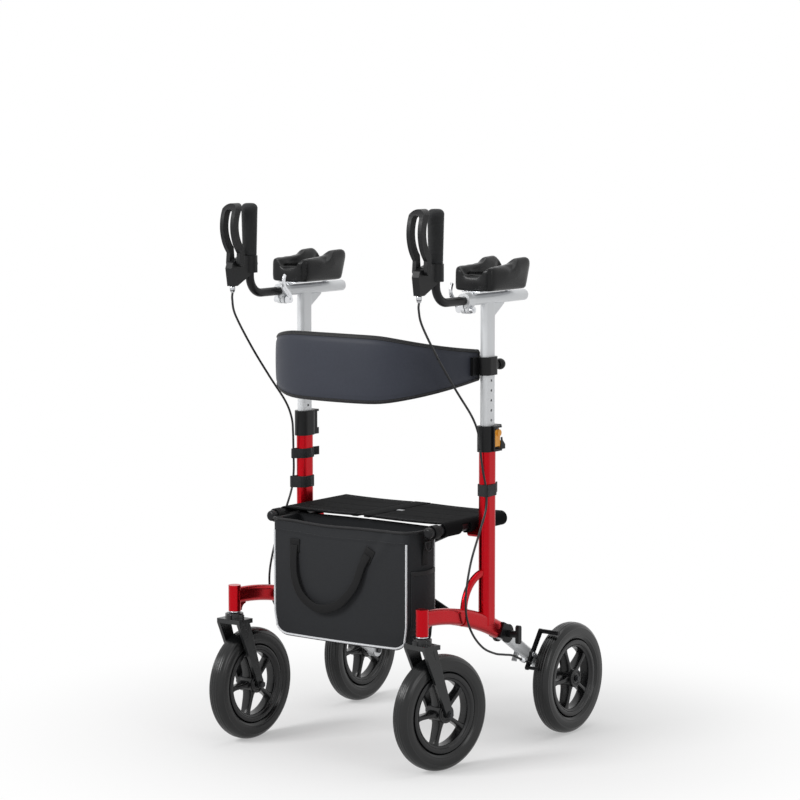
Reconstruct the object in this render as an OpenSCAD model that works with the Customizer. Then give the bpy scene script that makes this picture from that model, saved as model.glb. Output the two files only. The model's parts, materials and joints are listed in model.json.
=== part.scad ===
// Upright walker with forearm rests: folding side frames, cross brace, seat, bag, backrest and brakes.
// Millimetres, +Z up, +X to the left hand of the person walking, -Y ahead of them.
// The origin lies on the floor under the middle of the footprint.

/* [Stance] */
// Distance between the centres of the two uprights
upright_spacing = 507; // [500:1:530]
// Uprights from the middle of the footprint, ahead is negative
upright_y = -34; // [-50:1:-20]
// Height of the seat top
seat_h = 525; // [515:1:535]
// Height of the forearm tube's axis
arm_h = 1010; // [1000:1:1040]

/* [Uprights] */
// Upright tube, size from front to back
upright_l = 45; // [42:1:48]
// Upright tube, size across
upright_w = 26; // [24:1:28]
// Wall of the upright tube
upright_wall = 2.2; // [1.8:0.1:2.6]
// Gap between the upright and the post that slides in it
tube_fit = 0.3; // [0.2:0.05:0.4]
// Wall of the post
post_wall = 2; // [1.5:0.1:2.5]
// Height of the upright's open top
upright_top = 712; // [705:1:718]
// Height of the post's lower end
post_foot = 430; // [425:1:460]
// Diameter of the holes in the post
hole_d = 6; // [5:0.5:7]
// Distance from hole to hole
hole_pitch = 22; // [20:1:24]

/* [Lower frame] */
// Lower tube's axis at the caster head, above the wheel's top
arch_rise = 81; // [77:1:86]
// Bow radius of the lower tube
arch_r = 690; // [675:5:710]
// Side tube, height
side_h = 40; // [36:1:42]
// Side tube, width
side_w = 24; // [22:1:26]
// Front tube, height
front_h = 36; // [32:1:36]
// Front tube, width
front_w = 20; // [18:1:22]
// Front end of the side tube, ahead of the upright
side_ahead = 96; // [92:1:105]
// Radius of the curved brace between upright and side tube
gusset_r = 80; // [76:1:84]
// Curved brace, thickness of its section
gusset_t = 12; // [10:1:14]
// Curved brace, width of its section
gusset_w = 18; // [16:1:20]

/* [Casters] */
// Caster stem, outboard of the upright
caster_out = 4.5; // [3:0.5:6]
// Caster stem, ahead of the upright
caster_reach = 253; // [245:1:260]
// Axle behind the stem
caster_trail = 52; // [48:1:56]
// Turn of the left caster as it stands, degrees
caster_turn_left = -12; // [-30:1:30]
// Turn of the right caster as it stands, degrees
caster_turn_right = 2; // [-30:1:30]
// Diameter of the caster head
head_d = 28; // [26:1:32]
// Height of the caster head
head_h = 58; // [54:1:60]
// Diameter of the caster stem
stem_d = 12; // [10:0.5:14]
// Fork crown's top below the caster head
crown_drop = 17.5; // [15:0.5:20]
// Thickness of the fork crown
crown_t = 10; // [9:1:11]
// Thickness of a fork blade
blade_t = 8; // [7:0.5:9]
// Gap between wheel hub and fork blade
fork_gap = 2; // [1:0.5:3]

/* [Wheels] */
// Wheel diameter
wheel_d = 254; // [250:1:258]
// Tyre width
tyre_w = 42; // [40:1:44]
// Rim diameter under the tyre
rim_d = 176; // [170:1:182]
// Hub width
hub_w = 46; // [45:1:49]
// Hub diameter
hub_d = 40; // [36:1:46]
// Number of spokes
spokes = 5; // [3:1:7]
// Axle diameter
axle_d = 10; // [8:0.5:12]

/* [Rear legs] */
// Rear axle behind the upright
rear_reach = 270; // [265:1:280]
// Knuckle behind the upright
knuckle_reach = 64; // [61:1:67]
// Rear leg, height of its section
leg_h = 30; // [26:1:32]
// Rear leg, width of its section
leg_w = 20; // [18:1:21]
// Knuckle diameter
knuckle_d = 42; // [40:1:46]
// Space between rear leg and wheel hub, where the brake arm runs
leg_gap = 9; // [8.5:0.5:11]
// Span of the wing on the knob
wing_span = 42; // [38:1:46]
// Height of the wing on the knob
wing_w = 12; // [10:1:14]

/* [Height collars] */
// Collar height
collar_h = 57; // [55:1:62]
// Collar wall outside the upright
collar_wall = 4; // [3.5:0.5:5]
// Latch lever, width
latch_w = 16; // [12:1:18]

/* [Forearm rests] */
// Forearm tube diameter
arm_d = 25; // [24:0.5:27]
// Forearm tube, end ahead of the upright
arm_ahead = 74; // [70:1:80]
// Forearm tube, end behind the upright
arm_behind = 142; // [130:1:150]
// Pad length ahead of the upright
pad_ahead = 180; // [175:1:182]
// Pad length behind the upright
pad_behind = 102; // [95:1:110]
// Pad width
pad_w = 104; // [96:1:110]
// Pad thickness
pad_t = 14; // [10:1:16]
// Height of the pad's low front wall
pad_front_h = 42; // [40:1:48]
// Height of the pad's rear wings
pad_rear_h = 73; // [68:1:76]

/* [Handles] */
// Handle tube diameter
bar_d = 19; // [18:0.5:20]
// Grip axis ahead of the upright
grip_ahead = 198; // [196:1:205]
// Grip length
grip_len = 116; // [110:1:125]
// Grip top above the forearm tube
grip_rise = 202; // [198:1:212]
// Grip diameter at its top
grip_d = 37; // [34:1:40]
// Grip diameter at its foot
grip_foot_d = 32; // [30:1:34]
// Bend radius of the handle tube
bend_r = 40; // [36:1:42]
// Width of the closed-loop lever
lever_w = 39; // [37:1:42]
// Depth of the lever's band
lever_t = 18; // [14:1:20]

/* [Brakes] */
// Gap between brake bar and tyre
brake_gap = 4; // [3:0.5:5]
// Brake bar diameter
brake_bar_d = 10; // [8:0.5:11]
// Thickness of the brake arm
brake_arm_t = 6; // [5:0.5:6.5]
// Cable diameter
cable_d = 5; // [4:0.5:5.5]

/* [Brace and seat] */
// Lower brace pivots below the lower tube's height at the caster head
brace_drop = 25; // [21:1:29]
// Middle of the cross brace, ahead of the upright
brace_ahead = 60; // [58:1:64]
// Brace tube diameter
brace_d = 20; // [18:1:22]
// Seat rail diameter
rail_d = 24; // [22:1:25]
// Rail end ahead of the upright
rail_ahead = 177; // [170:1:182]
// Rail end behind the upright
rail_behind = 122; // [116:1:130]
// Seat cloth edge ahead of the upright
seat_ahead = 125; // [120:1:130]
// Seat cloth edge behind the upright
seat_behind = 112; // [108:1:115]
// Thickness of the seat cloth
seat_t = 4; // [3:0.5:4.5]

/* [Bag] */
// Bag width
bag_w = 380; // [360:1:384]
// Bag depth from front to back
bag_l = 106; // [95:1:108]
// Bag front, ahead of the upright
bag_ahead = 206; // [202:1:208]
// Height of the bag's bottom
bag_floor = 247; // [244:1:256]
// Height of the bag's top edge
bag_rim = 500; // [490:1:503]
// Thickness of the bag's cloth
bag_t = 5; // [3:0.5:6]

/* [Backrest] */
// Height of the backrest's middle line, as a share of the way from collar to forearm tube
back_share = 0.4714; // [0.46:0.0001:0.5]
// Height of the belt in the middle
belt_h = 150; // [130:1:160]
// Height of the belt at its ends
belt_end_h = 68; // [60:1:76]
// Thickness of the belt
belt_t = 16; // [10:1:18]
// Belt's middle ahead of the upright
belt_ahead = 238; // [230:1:245]

/* [Hidden] */
$fn = 64;
RED = [0.72, 0.05, 0.09];
BLACK = [0.11, 0.12, 0.13];
SOFT = [0.15, 0.16, 0.18];
SILVER = [0.78, 0.79, 0.80];
YELLOW = [0.95, 0.66, 0.20];

// Overrun of every cut, running fit of pins and stems, gap between faces that pass each other
over = 1;
pin_fit = 0.1;
gap = 0.5;
seat_fit = 0.3;
near_fit = 0.05;

// Places that other pieces take up
ux = upright_spacing / 2;
wheel_r = wheel_d / 2;
rim_r = rim_d / 2;
arch_h = wheel_d + arch_rise;
arch_low = arch_h - arch_r;
brace_h = arch_h - brace_drop;
post_l = upright_l - 2 * (upright_wall + tube_fit);
post_w = upright_w - 2 * (upright_wall + tube_fit);
caster_turn = [caster_turn_left, caster_turn_right];

// Rails run just inside the collars, and the brace pivots lie straight below them
rail_collar_gap = 4.2;
sleeve_d = rail_d + 2 * (seat_fit + seat_t);
rail_in = upright_w / 2 + collar_wall + rail_collar_gap + sleeve_d / 2;
rail_x = ux - rail_in;
rail_h = seat_h - sleeve_d / 2;

// A place on the lower bow, by its angle behind the caster head
function bow_angle(y) = asin((y + caster_reach) / arch_r);
function bow_y(a) = -caster_reach + arch_r * sin(a);
function bow_z(a) = arch_low + arch_r * cos(a);
function unit(v) = v / norm(v);
function smooth(t) = let (u = min(max(t, 0), 1)) u * u * (3 - 2 * u);

// Helpers: side_plate takes (y, z) outlines, front_plate takes (x, z) outlines
module side_plate(t) rotate([90, 0, 90]) linear_extrude(t, center = true) children();
module front_plate(t) rotate([90, 0, 0]) linear_extrude(t, center = true) children();
module along_x(d, from, to) translate([from, 0, 0]) rotate([0, 90, 0]) cylinder(d = d, h = to - from);
module along_y(d, from, to) translate([0, from, 0]) rotate([-90, 0, 0]) cylinder(d = d, h = to - from);
module oblong(l, w) {
  square([w, l - w], center = true);
  for (s = [-1, 1]) translate([0, s * (l - w) / 2]) circle(d = w);
}
module bow(h, w, a0, a1)
  translate([0, -caster_reach, arch_low]) rotate([90, 0, 90]) rotate(90 - a1)
    rotate_extrude(angle = a1 - a0, $fn = 180) translate([arch_r, 0]) rotate(90) oblong(h, w);
// A closed band through rings of points, each ring an outer edge and back along an inner one
module band_loft(rings) {
  n = len(rings[0]);
  last = (len(rings) - 1) * n;
  walls = [for (i = [0:len(rings) - 2], k = [0:n - 1]) let (p = i * n, q = p + n, j = (k + 1) % n)
    each [[p + k, p + j, q + j], [p + k, q + j, q + k]]];
  cap = [for (i = [0:n / 2 - 1]) each [
    if (i < n / 2 - 1) [i, n - i - 1, i + 1],
    if (i > 0) [i, n - i, n - i - 1]]];
  far_cap = [for (f = cap) [f[2] + last, f[1] + last, f[0] + last]];
  polyhedron([for (r = rings) each r], concat(walls, cap, far_cap));
}
// The right side mirrors the left, and both are drawn from the upright's axis
module left() translate([ux, upright_y, 0]) children();
module right() mirror([1, 0, 0]) left() children();
module middle() translate([0, upright_y, 0]) children();

// Side frame: upright, side tube, front tube, caster head, curved brace, rail saddle, brace lugs
knuckle_bend = bow_angle(knuckle_reach);
socket_gap = 27;
socket_start = knuckle_bend - socket_gap / arch_r * 180 / PI;
bore_floor = brace_h;
side_front = bow_angle(-side_ahead);
tube_lap = bow_angle(-side_ahead + side_h / 2);
head_bottom = arch_h + front_h / 2 + (head_h - front_h) / 4 - head_h;
stem_top = head_bottom + head_h - stem_d;
crown_top = head_bottom - crown_drop;
gusset_y = -upright_l / 2 + gusset_t;
gusset_z = bow_z(bow_angle(gusset_y - gusset_r)) + side_h / 4;
web_r = head_d / 2;
web_t = front_w / 2;
foot_r = 20;
saddle_d = 25;
saddle_end = rail_in + rail_d / 3;
lug_t = 5;
lug_d = 28;
barrel_len = 52;
lug_out = barrel_len / 2 + gap + lug_t / 2;
brace_pin_d = 10;

module rail_saddle()
  difference() {
    translate([0, 0, rail_h - sleeve_d / 2]) along_x(saddle_d, -saddle_end, 0);
    translate([-rail_in, 0, rail_h]) along_y(sleeve_d + 2 * seat_fit, -saddle_d, saddle_d);
  }

module brace_lugs()
  translate([0, -brace_ahead, brace_h]) {
    for (s = [-1, 1]) translate([0, s * lug_out, 0]) front_plate(lug_t) {
      translate([-rail_in, 0]) circle(d = lug_d);
      translate([-rail_in, -lug_d / 2]) square([rail_in, lug_d * 3 / 4]);
    }
    translate([-rail_in, 0, 0]) along_y(brace_pin_d, -lug_out, lug_out);
  }

module head_web()
  translate([0, -caster_reach, head_bottom])
    side_plate(web_t) difference() {
      square([head_d / 2 + web_r, head_h / 2]);
      translate([head_d / 2 + web_r, 0]) circle(r = web_r);
    }

module foot_web()
  translate([0, 0, bow_z(bow_angle(upright_l))]) side_plate(web_t) difference() {
    translate([0, side_h / 4]) square([upright_l / 2 + foot_r, foot_r + side_h / 4]);
    translate([upright_l / 2 - over + foot_r, side_h / 2 + foot_r]) circle(r = foot_r);
  }

module upright_bore() translate([0, 0, bore_floor]) linear_extrude(upright_top - bore_floor + over)
  oblong(upright_l - 2 * upright_wall, upright_w - 2 * upright_wall);

module side_frame() color(RED) difference() {
  union() {
    translate([0, 0, bow_z(bow_angle(0))]) linear_extrude(upright_top - bow_z(bow_angle(0)))
      oblong(upright_l, upright_w);
    bow(side_h, side_w, side_front, socket_start);
    bow(front_h, front_w, 0, tube_lap);
    translate([caster_out, -caster_reach, head_bottom]) cylinder(d = head_d, h = head_h);
    head_web();
    foot_web();
    translate([0, gusset_y, gusset_z]) rotate([90, 0, 90]) rotate(90)
      rotate_extrude(angle = 90) translate([gusset_r, 0]) rotate(90) oblong(gusset_w, gusset_t);
    rail_saddle();
    brace_lugs();
  }
  upright_bore();
  translate([caster_out, -caster_reach, head_bottom - over])
    cylinder(d = stem_d + 2 * pin_fit, h = stem_top - head_bottom + over);
}

// Height collar with its latch pocket, and the latch lever that swings out of it
collar_over = 18;
collar_top = upright_top + collar_over;
collar_foot = collar_top - collar_h;
collar_l = upright_l + 2 * collar_wall;
collar_w = upright_w + 2 * collar_wall;
lip_t = 5;
pocket_l = 12;
cheek_t = 3;
pocket_y = collar_l / 2 + over;
latch_eye_d = 9;
latch_y = pocket_y + latch_eye_d / 2 + gap;
latch_z = collar_foot + lip_t + latch_eye_d / 2 + gap;
latch_top = collar_top - lip_t - gap;
latch_pin_d = 4;
thumb_d = 13;
ear_h = latch_z + latch_eye_d / 2 - collar_foot;

module height_collar() color(BLACK) {
  difference() {
    union() {
      translate([0, 0, collar_foot]) linear_extrude(collar_h) oblong(collar_l, collar_w);
      translate([-latch_w / 2 - cheek_t, 0, collar_foot])
        cube([latch_w + 2 * cheek_t, pocket_y + pocket_l, collar_h]);
    }
    translate([0, 0, collar_foot - over]) linear_extrude(upright_top - collar_foot + over)
      oblong(upright_l + 2 * near_fit, upright_w + 2 * near_fit);
    translate([0, 0, collar_foot]) linear_extrude(collar_h + over)
      oblong(post_l + 2 * tube_fit, post_w + 2 * tube_fit);
    translate([-latch_w / 2 - gap, pocket_y, collar_foot + lip_t])
      cube([latch_w + 2 * gap, pocket_l + over, collar_h - 2 * lip_t]);
    translate([latch_w / 2, pocket_y, collar_foot + ear_h])
      cube([cheek_t + over, pocket_l + over, collar_h - lip_t - ear_h]);
    translate([-latch_w / 2 - cheek_t - over, pocket_y + pocket_l / 2, collar_foot + ear_h])
      cube([cheek_t + 2 * over, pocket_l, collar_h - lip_t - ear_h]);
  }
  translate([0, latch_y, latch_z])
    along_x(latch_pin_d, -latch_w / 2 - cheek_t / 2, latch_w / 2 + cheek_t / 2);
}

module height_latch() color(YELLOW) difference() {
  side_plate(latch_w) {
    translate([latch_y, latch_z]) circle(d = latch_eye_d);
    translate([latch_y - latch_eye_d / 2, latch_z]) square([latch_eye_d, latch_top - latch_z - thumb_d / 2]);
    translate([latch_y + thumb_d / 3, latch_top - thumb_d / 2]) circle(d = thumb_d);
    translate([latch_y - latch_eye_d / 2, latch_top - thumb_d]) square([latch_eye_d / 2, thumb_d]);
  }
  translate([0, latch_y, latch_z]) along_x(latch_pin_d + 2 * pin_fit, -latch_w, latch_w);
}

// Upper post: telescopic tube, forearm tube, rear gusset and split front clamp
arm_bore = bar_d + 2 * pin_fit;
clamp_len = 26;
clamp_wall = 4;
clamp_d = arm_d + 2 * clamp_wall;
clamp_y = -arm_ahead - clamp_len / 2 + clamp_len / 4;
ear_w = 20;
ear_drop = 20;
ear_d = 18;
slit = 3;
plate_t = 4;
plate_rise = 30;
plate_run = 42;
bolt_d = 6;
back_h = collar_top + (arm_h - collar_top) * back_share;
band_h = 40;
first_hole = collar_top + hole_d * 2;
hole_count = 1 + floor((back_h - band_h / 2 - first_hole) / hole_pitch);

module upper_post() color(SILVER) difference() {
  union() {
    translate([0, 0, post_foot]) linear_extrude(arm_h - post_foot) oblong(post_l, post_w);
    translate([0, 0, arm_h]) along_y(arm_d, -arm_ahead, arm_behind);
    translate([0, post_l / 2, arm_h - arm_d / 2]) side_plate(plate_t)
      polygon([[-post_wall, arm_d / 4], [plate_run, arm_d / 4], [plate_run, -post_wall], [0, -plate_rise],
        [-post_wall, -plate_rise]]);
    translate([0, clamp_y, arm_h]) {
      along_y(clamp_d, -clamp_len / 2, clamp_len / 2);
      side_plate(ear_w) {
        translate([0, -ear_drop]) circle(d = ear_d);
        translate([-ear_d / 2, -ear_drop]) square([ear_d, ear_drop]);
      }
    }
  }
  translate([0, 0, post_foot - over]) linear_extrude(arm_h - arm_d - post_foot)
    oblong(post_l - 2 * post_wall, post_w - 2 * post_wall);
  translate([0, 0, arm_h]) along_y(arm_bore, -arm_ahead - clamp_len, arm_behind - post_wall);
  translate([-slit / 2, clamp_y - clamp_len, arm_h - clamp_d])
    cube([slit, clamp_len * 2 - clamp_len / 4, clamp_d]);
  translate([0, clamp_y, arm_h - ear_drop]) along_x(bolt_d + gap, -ear_w, ear_w);
  for (i = [0:hole_count - 1]) translate([0, 0, first_hole + i * hole_pitch])
    along_x(hole_d, -post_w, post_w);
}

// Quick-release: bolt with nut on the outer side, cam lever on the inner side
nut_d = 15;
nut_t = 9;
cam_d = 15;
cam_w = 12;
cam_in = ear_w / 2 + gap + cam_d / 2;
cam_pin_d = 4;
cam_bar = [4, 9, 6];
cam_rise = 35;
cam_lean = 26;
cam_steps = 12;
function cam_line(t) = [-cam_lean * smooth(t), cam_rise * t];
function cam_edge(t, s) = let (d = unit(cam_line(t + 1 / cam_steps) - cam_line(t - 1 / cam_steps)),
    half = (cam_bar[1] + (cam_bar[2] - cam_bar[1]) * t) / 2)
  cam_line(t) + s * half * [d[1], -d[0]];

module clamp_bolt() color(SILVER) translate([0, clamp_y, arm_h - ear_drop]) {
  difference() {
    union() {
      along_x(bolt_d, -cam_in - bolt_d / 2, ear_w / 2);
      along_x(nut_d, ear_w / 2, ear_w / 2 + nut_t);
      along_x(bolt_d, ear_w / 2 + nut_t, ear_w / 2 + nut_t + bolt_d / 2);
    }
    translate([-cam_in, 0, 0]) along_y(cam_pin_d + 2 * pin_fit, -cam_w, cam_w);
  }
}

module clamp_lever() color(SILVER) translate([-cam_in, clamp_y, arm_h - ear_drop]) {
  difference() {
    along_y(cam_d, -cam_w / 2, cam_w / 2);
    along_y(bolt_d * 3 / 2 + gap, -bolt_d / 2 - gap, bolt_d / 2 + gap);
    translate([-bolt_d / 2 - gap, -bolt_d / 2 - gap, -cam_d]) cube([cam_d, bolt_d + 2 * gap, cam_d * 2]);
  }
  along_y(cam_pin_d, -cam_w / 2, cam_w / 2);
  translate([-cam_d / 2 + cam_bar[0] / 4, 0, 0]) side_plate(cam_bar[0]) polygon(concat(
    [for (i = [0:cam_steps]) cam_edge(i / cam_steps, 1)],
    [for (i = [cam_steps:-1:0]) cam_edge(i / cam_steps, -1)]));
}

// Plate on spacers under the pad, and the trough-shaped pad with low front walls and rear wings
spacer_h = 4;
rest_plate = [50, 2.5];
rest_ahead = 64;
rest_behind = 90;
spacer_d = 12;
pad_floor = arm_h + arm_d / 2 + spacer_h + rest_plate[1];
pad_square = 0.48;
pad_sink = 2;
nose_drop = 20;
tail_in = 8;
lip = [5, 128, 45];
first_step = [15, 112, 66];
rear_wing = [8, 26, 28];
slim = [6, 108, 62];
top_round = [14, 22];
pad_turns = [0, 2, 5, 10, 18, 30, 45, 62, 90, 118, 135, 150, 162, 170, 175, 178, 180];
round_turn = 6;
pad_stop_shares = [0, 0.008, 0.025, 0.06, 0.11, 0.17, 0.23, 0.29, 0.35, 0.41, 0.47, 0.53, 0.59, 0.65, 0.71,
  0.77, 0.83, 0.89, 0.94, 0.975, 0.992, 1];
end_shares = [0.4, 0.75, 0.93];

module arm_plate() color(SILVER) {
  translate([-rest_plate[0] / 2, -rest_ahead, arm_h + arm_d / 2 + spacer_h])
    cube([rest_plate[0], rest_ahead + rest_behind, rest_plate[1]]);
  for (y = [-rest_ahead + spacer_d, rest_behind - spacer_d]) translate([0, y, 0]) difference() {
    translate([0, 0, arm_h]) cylinder(d = spacer_d, h = arm_d / 2 + spacer_h);
    translate([0, 0, arm_h]) along_y(arm_d, -spacer_d, spacer_d);
  }
}

slope_h = pad_rear_h - pad_front_h - first_step[0] - rear_wing[0];
slope_y = first_step[2] - first_step[1];
function pad_top(y) = pad_front_h + lip[0] * smooth(-(y + lip[1]) / lip[2])
  + first_step[0] * smooth((y + first_step[1]) / first_step[2])
  + slope_h * min(max((y - slope_y) / (rear_wing[1] - slope_y), 0), 1)
  + rear_wing[0] * smooth((y - rear_wing[1]) / rear_wing[2])
  - top_round[0] * (1 - sqrt(1 - pow(max(0, (y - pad_behind + top_round[1]) / top_round[1]), 2)));
function pad_half(y) = pad_w / 2 - slim[0] * (1 - smooth((y + slim[1]) / slim[2]));
function pad_mid(a, h, turn) = [a * sign(cos(turn)) * pow(abs(cos(turn)), pad_square),
  h * (1 - pow(sin(turn), pad_square))];
function pad_dir(a, h, turn) = unit(pad_mid(a, h, min(turn + 1, 180)) - pad_mid(a, h, max(turn - 1, 0)));
function rounded(t) = sqrt(1 - pow(1 - min(t, 1), 2));
function end_share(i, n) = let (k = min(i, n - 1 - i)) k < len(end_shares) ? end_shares[k] : 1;

// One ring of the pad at share t of its length: down the outer wall and back along the inner one
function pad_ring(t, full) = let (y = -pad_ahead + (pad_ahead + pad_behind) * t, h = pad_top(y) - pad_t / 2,
    a = pad_half(y) - pad_t / 2, m = len(pad_turns) - 1)
  [for (i = [0:2 * m - 1]) let (k = i <= m ? i : 2 * m - i, turn = pad_turns[k], side = i <= m ? 1 : -1,
      d = pad_dir(a, h, turn), e = side * full * pad_t / 2 * rounded(min(turn, 180 - turn) / round_turn),
      p = pad_mid(a, h, turn) + e * [-d[1], d[0]], z = max(p[1] + pad_t / 2 - pad_sink, 0),
      low = 1 - min(z / h, 1))
    [p[0], y + nose_drop * low * (1 - t) - tail_in * low * low * t, z]];

module arm_pad() color(SOFT) translate([0, 0, pad_floor])
  band_loft([for (i = [0:len(pad_stop_shares) - 1])
    pad_ring(pad_stop_shares[i], end_share(i, len(pad_stop_shares)))]);

// Backrest clamp round the post, and the knob behind it
band_wall = 6;
band_l = post_l + 2 * (band_wall + near_fit);
band_w = post_w + 2 * (band_wall + near_fit);
hook_l = 16;
hook_t = 8;
boss_d = 20;
boss_l = 5;
knob_d = 25;
knob_len = 18;
knob_stud_d = 7;
knob_neck_d = 12;
knob_neck = 8;

module backrest_clamp() color(BLACK) difference() {
  translate([0, 0, back_h - band_h / 2]) union() {
    linear_extrude(band_h) oblong(band_l, band_w);
    translate([-band_w / 2, -band_l / 2 - hook_l, 0]) cube([hook_t, band_l / 2 + hook_l, band_h]);
    translate([0, 0, band_h / 2]) along_y(boss_d, 0, band_l / 2 + boss_l);
    translate([0, 0, band_h / 2]) along_y(knob_stud_d, 0, band_l / 2 + boss_l + knob_neck);
  }
  translate([0, 0, back_h - band_h]) linear_extrude(band_h * 2)
    oblong(post_l + 2 * near_fit, post_w + 2 * near_fit);
}

module backrest_knob() color(BLACK) translate([0, band_l / 2 + boss_l + gap, back_h]) rotate([-90, 0, 0])
  difference() {
    rotate_extrude() {
      square([knob_neck_d / 2, knob_neck + knob_len / 2]);
      translate([0, knob_neck]) intersection() {
        translate([0, knob_len / 2]) circle(d = knob_d);
        square([knob_d, knob_len]);
      }
    }
    translate([0, 0, -over]) cylinder(d = knob_stud_d + 2 * pin_fit, h = knob_neck + over);
  }

// Handle tube with its bend, grip, brake housing and closed-loop lever
bar_wall = 2;
bar_inside = 80;
grip_top = arm_h + grip_rise;
grip_foot = grip_top - grip_len;
grip_round = 12;
cap_t = 8;

module handle_bar() color(BLACK) translate([0, -grip_ahead, arm_h]) {
  difference() {
    along_y(bar_d, bend_r, grip_ahead + bar_inside);
    along_y(bar_d - 2 * bar_wall, bend_r - over, grip_ahead + bar_inside + over);
  }
  translate([0, bend_r, bend_r]) rotate([90, 0, 90]) rotate(180) rotate_extrude(angle = 90)
    translate([bend_r, 0]) difference() {
      circle(d = bar_d);
      circle(d = bar_d - 2 * bar_wall);
    }
  translate([0, 0, bend_r]) difference() {
    cylinder(d = bar_d, h = grip_rise - cap_t - bend_r);
    translate([0, 0, -over]) cylinder(d = bar_d - 2 * bar_wall, h = grip_rise);
  }
}

module hand_grip() color(SOFT) translate([0, -grip_ahead, grip_foot]) difference() {
  rotate_extrude() {
    polygon([[0, 0], [grip_foot_d / 2, 0], [grip_d / 2, grip_len - grip_round], [0, grip_len - grip_round]]);
    square([grip_d / 2 - grip_round, grip_len]);
    intersection() {
      translate([grip_d / 2 - grip_round, grip_len - grip_round]) circle(r = grip_round);
      square([grip_d, grip_len]);
    }
  }
  translate([0, 0, -over]) cylinder(d = bar_d + 2 * near_fit, h = grip_len - cap_t + over + near_fit);
}

ring_d = 35;
ring_h = 38;
ring_z = grip_foot - ring_h - gap;
nose_w = 18;
pivot_ahead = 50;
pivot_rise = ring_h * 2 / 3;
pivot_d = 20;
pivot_pin_d = 6;
exit_ahead = 61;
exit_drop = 27;
exit_w = 15;
adjuster = [11, 14];
back_boss_d = 12;
adjuster_tip = ring_z - exit_drop - adjuster[1];

module brake_housing() color(BLACK) translate([0, -grip_ahead, ring_z]) {
  difference() {
    union() {
      cylinder(d = ring_d, h = ring_h);
      translate([0, 0, ring_h / 2]) along_y(back_boss_d, 0, ring_d / 2 + back_boss_d / 3);
      side_plate(nose_w) {
        polygon([[0, 0], [-ring_d / 3, -exit_drop / 4], [-exit_ahead + exit_w / 2, -exit_drop],
          [-exit_ahead - exit_w / 2, -exit_drop], [-pivot_ahead - pivot_d * 5 / 4, ring_h / 3],
          [-pivot_ahead - pivot_d, ring_h * 2 / 3], [-pivot_ahead, pivot_rise + pivot_d / 3],
          [-ring_d * 3 / 4, ring_h], [0, ring_h]]);
        translate([-pivot_ahead, pivot_rise]) circle(d = pivot_d * 3 / 4);
      }
      translate([0, -pivot_ahead, pivot_rise]) along_x(pivot_pin_d, -lever_w / 2, lever_w / 2);
    }
    translate([0, 0, -exit_drop / 2]) cylinder(d = bar_d + 2 * near_fit, h = ring_h + exit_drop / 2 + over);
  }
  translate([0, -exit_ahead, -exit_drop - adjuster[1]]) {
    cylinder(d = adjuster[0] * 3 / 4, h = adjuster[1]);
    translate([0, 0, adjuster[1] / 4]) cylinder(d = adjuster[0], h = adjuster[1] / 2);
  }
}

leg_w_in = nose_w + 2 * gap;
loop_leg = (lever_w - leg_w_in) / 2;
bow_out_r = 88;
bow_in_r = bow_out_r - lever_t;
bow_y0 = 8;
bow_z0 = 105;
lever_rise = 156;
lever_low = 42;
lever_high = 50;
lever_steps = 24;
loop_r = lever_w * 5 / 9;
slot_top = lever_rise - loop_leg * 5 / 4;
slot_len = slot_top + pivot_d;

function on_bow(r, a) = [bow_y0 - r * cos(a), bow_z0 - r * sin(a)];

function bow_arc(r, from, to) = [for (i = [0:lever_steps]) on_bow(r, from + (to - from) * i / lever_steps)];
lever_outline = concat(bow_arc(bow_out_r, -lever_high, lever_low),
  [for (a = [195:30:345]) [-pivot_ahead, pivot_rise] + pivot_d / 2 * [cos(a), sin(a)]],
  bow_arc(bow_in_r, lever_low, -lever_high));

module brake_lever() color(BLACK) translate([0, -grip_ahead, ring_z]) difference() {
  intersection() {
    side_plate(lever_w) polygon(lever_outline);
    translate([0, -bow_out_r, 0]) front_plate(bow_out_r * 3) {
      translate([-lever_w, -pivot_d]) square([lever_w * 2, lever_rise - loop_r + pivot_d]);
      translate([0, lever_rise - loop_r]) circle(r = loop_r);
    }
  }
  translate([0, -bow_out_r, slot_top - slot_len / 2]) front_plate(bow_out_r * 4) oblong(slot_len, leg_w_in);
  translate([0, -pivot_ahead, pivot_rise]) along_x(pivot_pin_d + 2 * pin_fit, -lever_w, lever_w);
}

// Caster fork with stem and lock collar, drawn from the stem's foot on the floor
fork_in = hub_w + 2 * fork_gap;
fork_w = fork_in + 2 * blade_t;
crown_l = 46;
blade_top_l = 37;
blade_foot_d = 18;
lock_d = 38;
lock_gap = 5;
lock_h = head_bottom - lock_gap - crown_top;
lock_lobe_d = 14;
recess = [22, 2];

module caster_place(turn) translate([caster_out, -caster_reach, 0]) rotate(turn) children();

module blade_side() {
  polygon([[-crown_l / 2, crown_top - crown_t], [-crown_l / 2 + blade_top_l, crown_top - crown_t],
    [caster_trail + blade_foot_d / 2, wheel_r], [caster_trail - blade_foot_d / 2, wheel_r]]);
  translate([caster_trail, wheel_r]) circle(d = blade_foot_d);
  translate([-crown_l / 2, crown_top - crown_t]) square([crown_l, crown_t]);
}

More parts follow.
